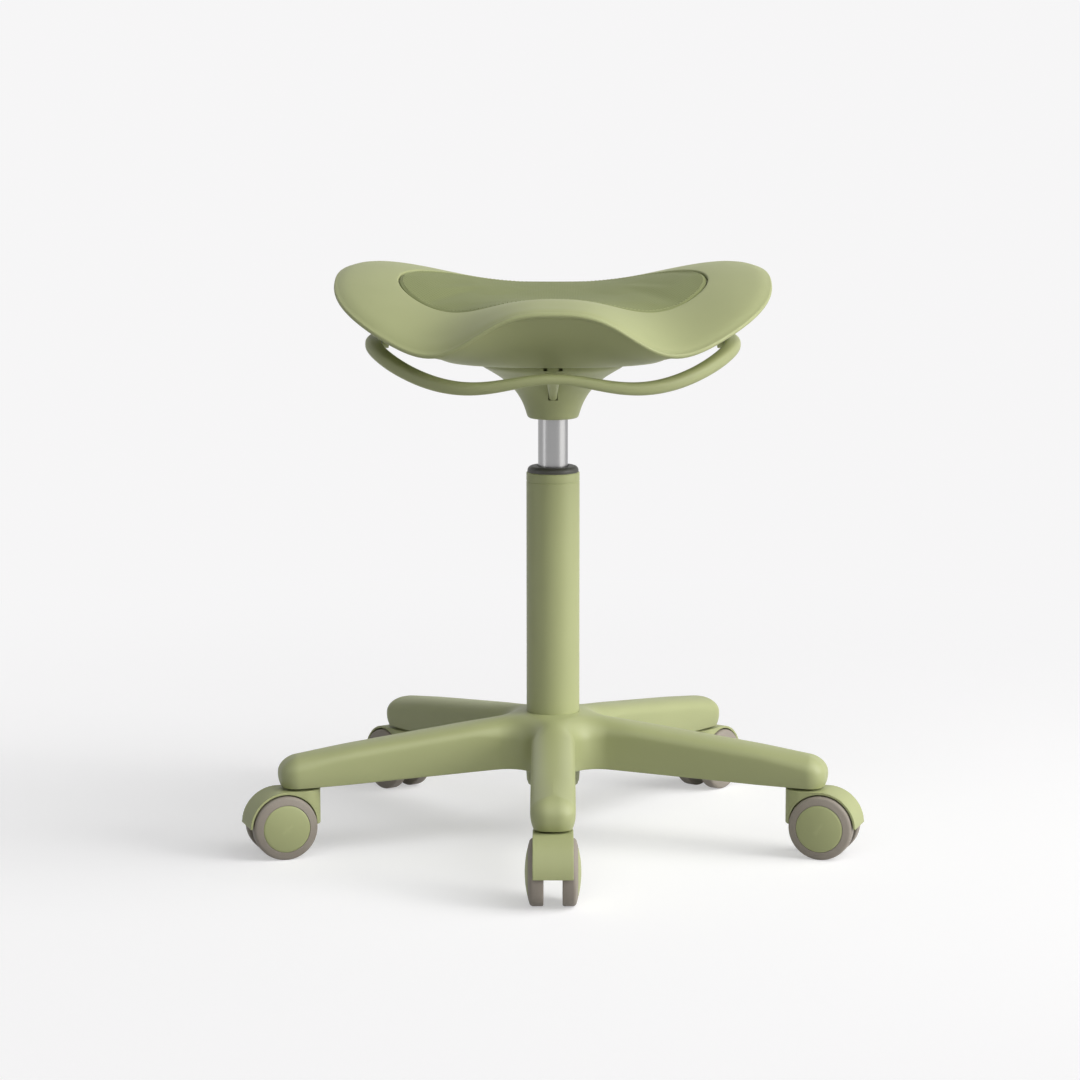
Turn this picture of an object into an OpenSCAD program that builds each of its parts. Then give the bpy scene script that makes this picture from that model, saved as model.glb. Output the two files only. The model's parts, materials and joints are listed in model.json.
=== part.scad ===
// Saddle stool on a five-armed base with twin-wheel casters. Sizes are in millimetres, +Z is up.
// The origin is on the floor below the column, and -Y is the front of the seat.

/* [Seat] */
// Width of the seat, wing to wing
seat_w = 407; // [390:1:425]
// Depth of the seat, front to back
seat_d = 330; // [315:1:345]
// Height of the saddle's middle above the under-shell's floor
saddle_h = 64.5; // [60:0.5:72]
// Rise of the two wings above the middle
wing_rise = 20.7; // [12:0.1:26]
// Fall of the front edge where the thighs pass
thigh_drop = 77; // [64:1:80]
// Fall of the back edge
back_drop = 12; // [6:0.5:16]
// Height of the low crest along the front edge
front_crest = 4.5; // [2:0.5:7]
// Depth of the dish behind that crest
dish_depth = 6; // [2:0.5:8]
// Thickness of the seat shell in its middle
shell_mid_t = 9; // [8:0.5:12]
// Thickness of the seat shell at its rim
shell_rim_t = 4.5; // [3.5:0.5:6]
// Wall of the under-shell
under_wall = 2.2; // [2:0.1:3]

/* [Pad] */
// Width of the oval pad
pad_w = 287; // [270:1:300]
// Depth of the oval pad
pad_d = 200; // [185:1:210]
// Depth of the recess that holds the pad
recess_d = 4; // [3:0.5:5]
// Crown of the pad above the shell around it
pad_crown = 0.8; // [0.4:0.2:2]

/* [Height lever] */
// Half the width of the lever's loop, to the middle of its tube
loop_rx = 167.5; // [163:0.5:171]
// Reach of the loop to the front
loop_front = 130; // [126:1:136]
// Reach of the loop to the back
loop_back = 142; // [138:1:148]
// Width of the loop's tube
tube_w = 15; // [12:0.5:16]
// Height of the loop's tube in the middle of its front
tube_h = 9.4; // [9:0.2:12]
// Height of the loop's tube at its sides and back
tube_side_h = 13; // [12:0.2:14]
// Height of the loop's pivots above the under-shell's floor
pivot_h = 15; // [13:0.5:18]
// Fall of the loop from its pivots to its front
loop_fall = 43; // [38:0.5:46]
// Rise of the loop in the middle of its front
loop_hump = 23; // [17:0.5:26]
// Diameter of the pivot pins
pivot_d = 5; // [4:0.5:6]
// Thickness of the lugs that hold the pivot pins
lug_t = 6; // [5:0.5:7]

/* [Housing] */
// Height of the flared housing under the seat
housing_h = 55; // [55:1:60]
// Radius of the housing's foot
housing_foot_r = 23.2; // [22.8:0.1:25]
// Radius of the housing's flange
flange_r = 67; // [66:0.5:70]
// Wall of the housing
housing_wall = 3; // [2.5:0.5:3.5]
// Radius of the circle that the four plate screws stand on
screw_circle_r = 58; // [57:0.5:59]
// Diameter of the four screws that hold the seat plate on the housing
screw_d = 6; // [5:0.5:6.5]
// Diameter of the four screws that hold the under-shell on the seat shell
shell_screw_d = 5; // [4:0.5:6]
// Thickness of the steel plate inside the seat
plate_t = 3; // [2:0.5:4]

/* [Column] */
// Length of the column tube above the hub
column_h = 227.9; // [200:1:260]
// Diameter of the column tube
column_d = 50; // [48:0.5:52]
// Wall of the column tube
column_wall = 2.5; // [2:0.5:3]
// Height of the dark collar on the column
collar_h = 5.7; // [5:0.1:7]
// Length of steel cylinder that shows above the collar
lift_out = 45.6; // [44:0.5:60]
// Diameter of the steel lift cylinder
lift_d = 28; // [27:0.5:28.5]
// Wall of the lift cylinder
lift_wall = 2.5; // [2:0.5:3]
// Length of the lift cylinder below the housing's foot
lift_len = 236; // [230:1:240]
// Diameter of the piston rod
rod_d = 10; // [9:0.5:11]
// Length of the guide sleeve in the column
guide_len = 120; // [110:1:130]

/* [Base] */
// Radius of the circle that the caster stems stand on
stem_circle_r = 245; // [235:1:255]
// Width of an arm
arm_w = 40.5; // [38:0.5:42]
// Height of an arm at its outer end
arm_end_h = 30.5; // [29:0.5:34]
// Rise of the hub above the arms' underside
hub_rise = 56.3; // [54:0.5:62]
// Radius of the blend between two arms
arm_blend_r = 25; // [20:1:30]
// Drop of the hub's collar below the arms
hub_drop = 16.5; // [14:0.5:17]

/* [Casters] */
// Diameter of a caster wheel
wheel_d = 60; // [58:1:62]
// Width over both wheels of a caster
caster_w = 50; // [48:1:52]
// Gap between the two wheels of a caster
wheel_gap = 16.8; // [16:0.2:18]
// Distance from the stem to the axle
trail = 20.5; // [20:0.5:22]
// Width of the hood
hood_w = 36; // [34:0.5:37]
// Thickness of the hood over the wheel, with its clearance
hood_over = 3.5; // [3.5:0.1:4]
// Radius of the face disc of a wheel
disc_r = 22; // [20:0.5:23]
// Diameter of the caster stem
stem_d = 11; // [10:0.5:12]
// Diameter of the axle
axle_d = 5; // [4.5:0.5:6]

/* [Hidden] */
$fn = 72;
arms = 5;
first_arm = 270;
leaf = "#a3aa7c";
leaf_pad = "#8f986b";
tyre_grey = "#8c827c";
steel = "#b5b7b8";
dark = "#34342f";
brass = "#b39a5c";

// Clearances: a running fit, a gap between still faces, and a gap beside a moving piece
fit = 0.05;
seam = 0.3;
swing_gap = 0.7;

// Overshoot of a cut past the face that it opens, and overlap of two joined solids
cut = 1;
join = 0.01;

// Heights, from the floor up
wheel_r = wheel_d / 2;
hood_r = wheel_r + hood_over;
hood_top = wheel_r + hood_r;
stem_flange_t = 1.7;
arm_z = hood_top + seam + stem_flange_t;
hub_z = arm_z - hub_drop;
hub_top = arm_z + hub_rise;
column_top = hub_top + column_h;
collar_top = column_top + collar_h;
housing_z = collar_top + lift_out;
floor_z = housing_z + housing_h;
seat_z = floor_z + saddle_h;
pivot_z = floor_z + pivot_h;

// Column and lift
column_r = column_d / 2;
column_in_r = column_r - column_wall;
spigot_r = column_r - 2;
spigot_h = 27;
spigot_lift = 3;
foot_plate_t = 4;
foot_plate_z = hub_z + 9;
shoulder_z = hub_z + spigot_h;
lift_r = lift_d / 2;
lift_in_r = lift_r - lift_wall;
lift_z = housing_z - lift_len;
socket_h = 35;
lift_top = housing_z + socket_h;
rod_r = rod_d / 2;
rod_tip_r = rod_r - 1;
race_t = 2;
ball_d = 4;
ball_ring_r = 8.7;
balls = 10;
race_r = 12;
race_z = foot_plate_z + foot_plate_t;
ball_z = race_z + race_t + fit + ball_d / 2;
upper_race_z = ball_z + ball_d / 2 + fit;
rod_shoulder_z = upper_race_z + race_t;
rod_foot_z = hub_z + 4.5;
rod_over = 2;
piston_h = 10;
piston_z = lift_z + 97;
rod_guide_h = 20;
clip_t = 1.2;
clip_r = rod_r + 2;
washer_t = 1;
washer_r = rod_r + 5;
foot_bore_r = column_in_r - 2;
foot_floor = 4;
ring_mark_down = 8;
ring_mark_h = 0.8;
ring_mark_t = 0.3;
collar_round = 4.2;
collar_gap = 0.6;
collar_r = column_r - 1;

// Valve and crank in the housing
valve_body_h = 22;
valve_pin_r = 3;
valve_pin_up = 3.7;
valve_pin_len = 16;
valve_room = 6;
crank_y = -22;
crank_z = lift_top + 5;
crank_pin_r = 2;
crank_hub_r = 4;
crank_half_w = 6;
crank_reach = 18;
crank_arm_t = 3;
crank_arm_w = 3;
crank_arm_below = 2;
crank_bar_w = 8;
crank_bar_t = 3.5;
crank_bar_down = 0.5;
crank_nose_r = 3;
crank_nose_lift = 2;
ear_t = 3;
ear_reach = 7;
ear_up = 5;
ear_down = 8;
crank_pin_l = 2 * (crank_half_w + seam + ear_t);
spoke_tip_z = crank_z - crank_reach;
spoke_bar_r = 1.2;
spoke_play = 0.4;
spoke_slot_y = 4;
spoke_slot_w = crank_arm_w + 1;
spoke_bar_y = crank_y + crank_arm_t / 2 + spoke_play + spoke_bar_r;

// Housing outline, as radius and height above its foot
housing_line = [
    [housing_foot_r, 0],
    [housing_foot_r + 1.2, 2.5],
    [housing_foot_r + 3.3, 9],
    [housing_foot_r + 5.8, 15],
    [housing_foot_r + 9.5, 21.5],
    [housing_foot_r + 14, 27.5],
    [housing_foot_r + 19.5, 33],
    [housing_foot_r + 27, 39],
    [flange_r - 8, housing_h - 10.5],
    [flange_r - 2, housing_h - 7],
    [flange_r, housing_h - 5],
    [flange_r, housing_h],
];
flange_in_r = screw_circle_r - 7;
socket_r = lift_r + housing_wall;
head_h = 4;
head_r = screw_d - 0.5;
plate_z = floor_z + under_wall + seam;
plate_r = flange_r - 2;
screw_depth = 8;
flange_t = 12;
shell_head_h = 2.5;
shell_head_r = shell_screw_d - 0.5;
shell_screw_up = 16;
boss_z = plate_z;
slot_x = 7;
slot_w = 4.2;
slot_h = 4;
slot_depth = 7;
slot_down = 5.5;
spoke_gap = 0.6;
spoke_below = 1.5;
spoke_above = 2.5;

// Saddle surface
saddle_power = 2.35;
saddle_crest_y = 72;
wing_at = 174;
wing_power = 2.8;
pommel_share = 0.932;
pommel_half = 88.5;
pommel_power = 3;
dish_y = -30;
dish_l = 52;
dish_w = 120;
crest_y = -114;
crest_l = 34;
crest_w = 60;
edge_start = 0.93;
edge_roll = 3;
under_reach = 0.96;
under_flat = 0.5;
rim_play = 0.5;
under_power = 1.15;
around = 96;
oval_shares = [0.1, 0.25, 0.4, 0.55, 0.7, 0.85];
crown_shares = [0.95, 0.8, 0.6, 0.35, 0.15];
pad_edge = 0.8;
boss_r = 8;
shell_screw_edge = 5;
shell_screw_gap = 3;
shell_screw_least_x = 34;
shell_screw_side_edge = 11.75;
shell_screw_side_x = seat_w / 2 * under_flat - boss_r - shell_screw_side_edge;
shell_screw_side_y = 34;
shell_screw_y = seat_d / 2 * under_flat - boss_r - shell_screw_edge;
shell_screw_out = flange_r + shell_head_r + shell_screw_gap;
shell_screw_reach = pow(shell_screw_out, 2) - pow(shell_screw_y, 2);
shell_screw_x = max(shell_screw_least_x, sqrt(max(0, shell_screw_reach)));
shell_screws = [
    [shell_screw_side_x, shell_screw_side_y], [shell_screw_x, shell_screw_y],
    [-shell_screw_x, shell_screw_y], [-shell_screw_side_x, shell_screw_side_y],
];

// Loop of the height lever
loop_steps = 96;
tube_sides = 12;
tube_power = 2.5;
loop_back_rise = 3;
loop_power = 2.25;
hump_half = 69;
lug_r = 5;
pin_in_tube = 8;
pin_hole_in_tube = 9;
lug_x = loop_rx - tube_w / 2 - swing_gap - lug_t / 2;
spoke_root_w = 12;
spoke_tip_w = 8;
spoke_h = 6;
spoke_groove = 1.6;
spoke_rail = 2.5;

// Casters
axle_r = axle_d / 2;
stem_r = stem_d / 2;
stem_low_r = stem_r - 0.5;
stem_flange_r = stem_r + 3;
sleeve_t = 2;
sleeve_h = 23;
stem_foot_z = wheel_r + axle_r + 5;
hood_stem_r = hood_w / 2;
hood_shift = 1.5;
hood_low_z = wheel_r + 0.5;
web_boss_r = axle_r + 1.6;
arch_r = wheel_r + 1.2;
web_w = wheel_gap - 0.8;
tread_w = (caster_w - wheel_gap) / 2;
tread_round = 4.2;
disc_face = tread_w - 1.2;
disc_bulge = 1.2;
disc_edge = 0.6;
wheel_hub_r = 9;
wheel_recess = 3;
wheel_rim_t = 4;
axle_l = caster_w - 6;

// Points of an arc, from one angle to another
function arc(cx, cy, r, from, to, steps = 6) =
    [for (i = [0:steps]) let (a = from + (to - from) * i / steps) [cx + r * cos(a), cy + r * sin(a)]];

// Distance from the middle to the edge of a rounded outline, at an angle
function outline_r(a, rx, ry, power) =
    1 / pow(pow(abs(cos(a)) / rx, power) + pow(abs(sin(a)) / ry, power), 1 / power);

function seat_share(x, y) =
    let (across = abs(x) / (seat_w / 2), along = abs(y) / (seat_d / 2))
    pow(pow(across, saddle_power) + pow(along, saddle_power), 1 / saddle_power);

// Height of the saddle's upper surface
function seat_top(x, y) =
    let (
        wing = wing_rise * pow(sin(90 * min(abs(x) / wing_at, 1.25)), wing_power),
        front = max(0, saddle_crest_y - y) / (saddle_crest_y + seat_d / 2),
        back = max(0, y - saddle_crest_y) / (seat_d / 2 - saddle_crest_y),
        thigh = 1 - pommel_share * exp(-pow(abs(x) / pommel_half, pommel_power)),
        dish = exp(-pow((y - dish_y) / dish_l, 2) - pow(x / dish_w, 2)),
        crest = exp(-pow((y - crest_y) / crest_l, 2) - pow(x / crest_w, 2)),
        edge = max(0, seat_share(x, y) - edge_start) / (1 - edge_start)
    )
    seat_z + wing - thigh_drop * thigh * front * front - back_drop * back * back
    - dish_depth * dish + front_crest * crest - edge_roll * edge * edge;

// Thickness of the seat shell, thinner towards its rim
function shell_t(x, y) =
    let (share = seat_share(x, y)) shell_rim_t + (shell_mid_t - shell_rim_t) * max(0, 1 - share * share);

function shell_low(x, y) = seat_top(x, y) - shell_t(x, y);

// Height of the under-shell's outer surface, at an angle and a share of the way to the rim
function under_low(a, share) =
    let (
        r = under_reach * outline_r(a, seat_w / 2, seat_d / 2, saddle_power),
        edge_z = shell_low(r * cos(a), r * sin(a)) - rim_play - under_wall,
        rise = max(0, share - under_flat) / (under_reach - under_flat)
    )
    floor_z + (edge_z - floor_z) * pow(rise, under_power);

function ring_middle(ring) =
    let (n = len(ring)) [for (k = [0:2]) sum([for (p = ring) p[k]]) / n];

function sum(values, i = 0) = i < len(values) ? values[i] + sum(values, i + 1) : 0;

// Solid between a list of rings, closed at both ends
module skin(rings) {
    n = len(rings[0]);
    m = len(rings);
    points = concat([for (ring = rings) each ring], [ring_middle(rings[0]), ring_middle(rings[m - 1])]);
    sides = [
        for (i = [0:m - 2], j = [0:n - 1])
            let (a = i * n + j, b = i * n + (j + 1) % n)
            each [[a, b + n, b], [a, a + n, b + n]]
    ];
    first = [for (j = [0:n - 1]) [m * n, j, (j + 1) % n]];
    last = [for (j = [0:n - 1]) [m * n + 1, (m - 1) * n + (j + 1) % n, (m - 1) * n + j]];
    polyhedron(points, concat(sides, first, last));
}

// Ring of the seat at a share of its outline, with a height from the function given
function seat_ring(share, low) = [
    for (i = [0:around - 1])
        let (
            a = 360 * i / around,
            r = share * outline_r(a, seat_w / 2, seat_d / 2, saddle_power),
            x = r * cos(a),
            y = r * sin(a)
        )
        [x, y, low ? shell_low(x, y) : seat_top(x, y)]
];

// Ring between the recess and the seat's rim, 0 at the recess and 1 at the rim
function margin_ring(share, drop = 0) = [
    for (i = [0:around - 1])
        let (
            a = 360 * i / around,
            inner = outline_r(a, pad_w / 2 + seam, pad_d / 2 + seam, 2),
            outer = outline_r(a, seat_w / 2, seat_d / 2, saddle_power),
            r = inner + (outer - inner) * share
        )
        [r * cos(a), r * sin(a), seat_top(r * cos(a), r * sin(a)) - drop]
];

// Ring of the pad or its recess, at a share of the oval
function oval_ring(share, grow, drop) = [
    for (i = [0:around - 1])
        let (a = 360 * i / around, r = share * outline_r(a, pad_w / 2 + grow, pad_d / 2 + grow, 2))
        [r * cos(a), r * sin(a), seat_top(r * cos(a), r * sin(a)) - drop]
];

module seat_shell() {
    color(leaf)
    difference() {
        union() {
            skin(concat(
                [for (s = [0.12, 0.25, 0.38, 0.5, 0.62, 0.74, 0.86, 0.94, 0.985]) seat_ring(s, true)],
                [margin_ring(1, shell_rim_t * 0.55)],
                [for (s = [1, 0.95, 0.85, 0.7, 0.5, 0.3, 0.15, 0]) margin_ring(s)],
                [oval_ring(1, seam, recess_d)],
                [for (k = [len(oval_shares) - 1:-1:0]) oval_ring(oval_shares[k], seam, recess_d)]
            ));
            for (p = shell_screws) translate([p.x, p.y, boss_z]) cylinder(r = boss_r, h = boss_h(p));
        }
        for (p = shell_screws)
            translate([p.x, p.y, boss_z - cut])
                cylinder(r = shell_screw_d / 2 + fit, h = shell_screw_up + 3 * cut);
    }
}

// Height of a screw boss that hangs from the seat shell and ends inside it
function boss_h(p) = shell_low(p.x, p.y) + 1.5 - boss_z;

module at_screws() {
    for (a = [45:90:315])
        rotate([0, 0, a]) translate([screw_circle_r, 0, 0]) children();
}

module seat_pad() {
    color(leaf_pad)
    skin(concat(
        [for (s = oval_shares) oval_ring(s, 0, recess_d - seam)],
        [oval_ring(1, 0, recess_d - seam), oval_ring(1, 0, pad_edge)],
        [for (s = crown_shares) oval_ring(s, 0, -pad_crown * (1 - pow(s, 4)))]
    ));
}

module under_ring_solid() {
    shares = [0.12, 0.25, 0.38, under_flat, 0.54, 0.59, 0.66, 0.74, 0.82, 0.89, under_reach];
    function ring(share, up) = [
        for (i = [0:around - 1])
            let (a = 360 * i / around, r = share * outline_r(a, seat_w / 2, seat_d / 2, saddle_power))
            [r * cos(a), r * sin(a), under_low(a, share) + up]
    ];
    skin(concat(
        [for (s = shares) ring(s, 0)],
        [for (k = [len(shares) - 1:-1:0]) ring(shares[k], under_wall)]
    ));
}

module under_shell() {
    lug_top = under_low(0, lug_x / (seat_w / 2));
    color(leaf)
    difference() {
        union() {
            under_ring_solid();
            for (side = [-1, 1])
                translate([side * lug_x, 0, 0]) {
                    translate([0, 0, pivot_z])
                        rotate([0, 90, 0]) cylinder(r = lug_r, h = lug_t, center = true);
                    translate([-lug_t / 2, -lug_r, pivot_z])
                        cube([lug_t, 2 * lug_r, lug_top - pivot_z - cut]);
                }
        }
        for (side = [-1, 1])
            translate([side * lug_x, 0, pivot_z])
                rotate([0, 90, 0]) cylinder(r = pivot_d / 2 + fit / 2, h = 2 * lug_t, center = true);
        at_screws() translate([0, 0, floor_z - cut])
            cylinder(r = screw_d / 2 + seam, h = under_wall + 2 * cut);
        for (p = shell_screws)
            translate([p.x, p.y, floor_z - cut])
                cylinder(r = shell_screw_d / 2 + seam, h = under_wall + 2 * cut);
    }
}

module seat_plate() {
    color(steel)
    difference() {
        translate([0, 0, plate_z]) cylinder(r = plate_r, h = plate_t);
        at_screws() translate([0, 0, plate_z - cut])
            cylinder(r = screw_d / 2 + seam, h = plate_t + 2 * cut);
    }
}

// Screws from inside the seat, through its plate and floor into the housing
module plate_screws() {
    head_z = plate_z + plate_t + fit;
    foot_z = floor_z - screw_depth + seam;
    color(dark)
    at_screws() {
        translate([0, 0, head_z]) cylinder(r = head_r, h = head_h);
        translate([0, 0, foot_z]) cylinder(r = screw_d / 2, h = head_z + join - foot_z);
    }
}

// Screws from below, through the under-shell into the seat shell's bosses
module shell_screws() {
    color(dark)
    for (p = shell_screws)
        translate([p.x, p.y, floor_z]) {
            translate([0, 0, -fit - shell_head_h]) cylinder(r = shell_head_r, h = shell_head_h);
            translate([0, 0, -fit - join])
                cylinder(r = shell_screw_d / 2, h = boss_z - floor_z + shell_screw_up + fit + join);
        }
}

module housing_solid(grow) {
    translate([0, 0, housing_z])
    rotate_extrude()
        polygon(concat([[0, 0]], [for (p = housing_line) [p[0] + grow, p[1]]], [[0, housing_h]]));
}

module mechanism_housing() {
    color(leaf)
    difference() {
        union() {
            difference() {
                housing_solid(0);
                intersection() {
                    housing_solid(-housing_wall);
                    translate([0, 0, housing_z + housing_wall]) cylinder(r = flange_in_r, h = housing_h);
                }
                translate([0, 0, floor_z - flange_t]) cylinder(r = flange_in_r, h = flange_t + cut);
            }
            translate([0, 0, housing_z]) cylinder(r = socket_r, h = socket_h);
            intersection() {
                housing_solid(-housing_wall / 2);
                for (side = [-1, 1])
                    translate([side * (crank_half_w + seam + ear_t / 2), 0, 0])
                        translate([-ear_t / 2, -flange_r, spoke_tip_z - ear_down])
                            cube([ear_t, flange_r + crank_y + ear_reach, crank_reach + ear_up + ear_down]);
            }
        }
        translate([0, 0, housing_z - cut]) cylinder(r = lift_r + fit, h = socket_h + 2 * cut);
        at_screws() translate([0, 0, floor_z - screw_depth])
            cylinder(r = screw_d / 2 + fit, h = screw_depth + cut);
        translate([0, crank_y, crank_z])
            rotate([0, 90, 0]) cylinder(r = crank_pin_r + fit / 2, h = crank_pin_l + 2 * cut, center = true);
        translate([-spoke_tip_w / 2 - spoke_gap, -flange_r, spoke_tip_z - spoke_h / 2 - spoke_below])
            cube([
                spoke_tip_w + 2 * spoke_gap,
                flange_r - socket_r - seam,
                spoke_h + spoke_below + 2 * spoke_above,
            ]);
        for (side = [-1, 1])
            translate([side * slot_x - slot_w / 2, -flange_r - cut, floor_z - slot_down])
                cube([slot_w, slot_depth + cut, slot_h]);
    }
}

module crank_pin() {
    color(steel)
    translate([0, crank_y, crank_z])
        rotate([0, 90, 0]) cylinder(r = crank_pin_r, h = crank_pin_l, center = true);
}

module valve_crank() {
    color(dark)
    difference() {
        union() {
            translate([0, crank_y, crank_z])
                rotate([0, 90, 0]) cylinder(r = crank_hub_r, h = 2 * crank_half_w, center = true);
            translate([-crank_arm_w / 2, crank_y - crank_arm_t / 2, spoke_tip_z - crank_arm_below])
                cube([crank_arm_w, crank_arm_t, crank_reach + crank_arm_below]);
            translate([-crank_bar_w / 2, crank_y, crank_z - crank_bar_down])
                cube([crank_bar_w, -crank_y, crank_bar_t]);
            translate([0, 0, crank_z + crank_nose_lift])
                rotate([0, 90, 0]) cylinder(r = crank_nose_r, h = crank_bar_w, center = true);
        }
        translate([0, crank_y, crank_z])
            rotate([0, 90, 0]) cylinder(r = crank_pin_r + fit, h = crank_pin_l, center = true);
    }
}

module valve_pin() {
    color(brass)
    translate([0, 0, lift_top + valve_pin_up - valve_pin_len]) cylinder(r = valve_pin_r, h = valve_pin_len);
}

module valve_body() {
    color(steel)
    difference() {
        translate([0, 0, lift_top - valve_body_h]) cylinder(r = lift_in_r - fit, h = valve_body_h);
        translate([0, 0, lift_top + valve_pin_up - valve_pin_len - valve_room])
            cylinder(r = valve_pin_r + fit, h = valve_pin_len + valve_room);
    }
}

module lift_cylinder() {
    color(steel)
    difference() {
        translate([0, 0, lift_z]) cylinder(r = lift_r, h = lift_top - lift_z);
        translate([0, 0, lift_z - cut]) cylinder(r = lift_in_r, h = lift_top - lift_z + 2 * cut);
    }
}

module rod_guide() {
    color(dark)
    difference() {
        translate([0, 0, lift_z]) cylinder(r = lift_in_r - fit, h = rod_guide_h);
        translate([0, 0, lift_z - cut]) cylinder(r = rod_r + fit, h = rod_guide_h + 2 * cut);
    }
}

module piston_rod() {
    color(steel) {
        translate([0, 0, rod_foot_z]) cylinder(r = rod_tip_r, h = rod_shoulder_z - rod_foot_z + join);
        translate([0, 0, rod_shoulder_z]) cylinder(r = rod_r, h = piston_z - rod_shoulder_z);
        translate([0, 0, piston_z - join]) cylinder(r = rod_tip_r, h = piston_h + rod_over);
    }
}

module piston() {
    color(dark)
    difference() {
        translate([0, 0, piston_z]) cylinder(r = lift_in_r - fit, h = piston_h);
        translate([0, 0, piston_z - cut]) cylinder(r = rod_tip_r + fit, h = piston_h + 2 * cut);
    }
}

module race(z, bore_r) {
    color(steel)
    difference() {
        translate([0, 0, z]) cylinder(r = race_r, h = race_t);
        translate([0, 0, z - cut]) cylinder(r = bore_r, h = race_t + 2 * cut);
    }
}

module lower_race() race(race_z, rod_tip_r + seam);
module upper_race() race(upper_race_z, rod_tip_r + fit);

module bearing_balls() {
    color(steel)
    for (i = [0:balls - 1])
        rotate([0, 0, 360 * i / balls]) translate([ball_ring_r, 0, ball_z]) sphere(d = ball_d);
}

module rod_clip() {
    color(dark)
    difference() {
        union() {
            translate([0, 0, foot_plate_z - fit - washer_t]) cylinder(r = washer_r, h = washer_t);
            translate([0, 0, foot_plate_z - 2 * fit - washer_t - clip_t]) cylinder(r = clip_r, h = clip_t);
        }
        translate([0, 0, hub_z]) cylinder(r = rod_tip_r + fit, h = spigot_h);
    }
}

module guide_sleeve() {
    color(dark)
    difference() {
        translate([0, 0, column_top - guide_len]) cylinder(r = column_in_r - fit, h = guide_len);
        translate([0, 0, column_top - guide_len - cut]) cylinder(r = lift_r + fit, h = guide_len + 2 * cut);
    }
}

module column_tube() {
    color(leaf)
    difference() {
        union() {
            translate([0, 0, shoulder_z]) cylinder(r = column_r, h = column_top - shoulder_z);
            translate([0, 0, hub_z + spigot_lift]) cylinder(r = spigot_r, h = spigot_h - spigot_lift + cut);
        }
        translate([0, 0, race_z]) cylinder(r = foot_bore_r, h = spigot_h);
        translate([0, 0, shoulder_z + foot_floor]) cylinder(r = column_in_r, h = column_top - shoulder_z);
        translate([0, 0, hub_z]) cylinder(r = foot_bore_r, h = foot_plate_z - hub_z);
        translate([0, 0, hub_z]) cylinder(r = rod_tip_r + seam, h = spigot_h);
        translate([0, 0, column_top - ring_mark_down])
            rotate_extrude() translate([column_r - ring_mark_t, 0]) square([cut, ring_mark_h]);
    }
}

module column_collar() {
    color(dark)
    translate([0, 0, column_top])
    rotate_extrude()
        polygon(concat(
            [[lift_r + collar_gap, 0], [collar_r, 0]],
            arc(collar_r - collar_round, collar_h - collar_round, collar_round, 0, 90),
            [[lift_r + collar_gap, collar_h]]
        ));
}

// Side view of an arm, as distance from the column and height
arm_end_r = stem_circle_r + 22;
arm_slope = atan((hub_rise - arm_end_h) / arm_end_r);
hub_r = column_r + 0.8;
arm_low_round = 4;
arm_top_round = 16;
arm_line = concat(
    [[0, arm_z + 7], [column_r + 20, arm_z + 6.4], [column_r + 47, arm_z + 5.6]],
    [[arm_end_r - 60, arm_z + 1], [arm_end_r - 5, arm_z]],
    arc(arm_end_r - arm_low_round, arm_z + arm_low_round, arm_low_round, -90, 0, 3),
    arc(arm_end_r - arm_top_round, arm_z + arm_end_h - arm_top_round, arm_top_round, 0, 84, 6),
    [[column_r, hub_top], [0, hub_top]]
);

// Arm along +X: the side view, cut to its plan and to a section with rounded upper edges
module arm() {
    edge_r = 11;
    tip_r = 13;
    side_over = 2;
    intersection() {
        rotate([90, 0, 0]) linear_extrude(height = 2 * arm_w, center = true) polygon(arm_line);
        linear_extrude(height = 2 * hub_top)
            polygon(concat(
                [[0, -arm_w / 2]],
                arc(arm_end_r - tip_r, tip_r - arm_w / 2, tip_r, -90, 0),
                arc(arm_end_r - tip_r, arm_w / 2 - tip_r, tip_r, 0, 90),
                [[0, arm_w / 2]]
            ));
        translate([0, 0, hub_top + 0.6])
            rotate([0, arm_slope, 0]) rotate([90, 0, 90])
                linear_extrude(height = 2 * arm_end_r, center = true)
                    polygon(concat(
                        [[-arm_w / 2 - side_over, -hub_top]],
                        [[arm_w / 2 + side_over, -hub_top]],
                        arc(arm_w / 2 - edge_r, -edge_r, edge_r, 0, 90),
                        arc(edge_r - arm_w / 2, -edge_r, edge_r, 90, 180)
                    ));
    }
}

// Web that blends each pair of arms into the hub
module hub_web() {
    blend_at = (arm_w / 2 + arm_blend_r) / sin(180 / arms);
    web_r = blend_at * cos(180 / arms);
    intersection() {
        rotate_extrude()
            polygon([
                [0, arm_z + 5], [web_r, arm_z + 5], [web_r, hub_top - 20], [web_r - 8, hub_top - 13],
                [column_r + 12, hub_top - 4], [column_r + 3, hub_top], [0, hub_top],
            ]);
        difference() {
            cylinder(r = web_r, h = hub_top);
            for (i = [0:arms - 1])
                rotate([0, 0, first_arm + (i + 0.5) * 360 / arms])
                    translate([blend_at, 0, -1]) cylinder(r = arm_blend_r, h = hub_top + 2);
        }
    }
}

module at_arms() {
    for (i = [0:arms - 1])
        rotate([0, 0, first_arm + i * 360 / arms]) children();
}

module base_star() {
    color(leaf)
    difference() {
        union() {
            at_arms() arm();
            hub_web();
            translate([0, 0, hub_z]) cylinder(r = hub_r, h = hub_drop + spigot_lift + 5);
        }
        translate([0, 0, shoulder_z]) cylinder(r = column_r + fit, h = hub_top);
        translate([0, 0, hub_z - cut]) cylinder(r = spigot_r + fit, h = hub_top);
        at_arms() translate([stem_circle_r, 0, arm_z - cut])
            cylinder(r = stem_r + sleeve_t + 2 * fit, h = sleeve_h + 2 * cut);
    }
}

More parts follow.
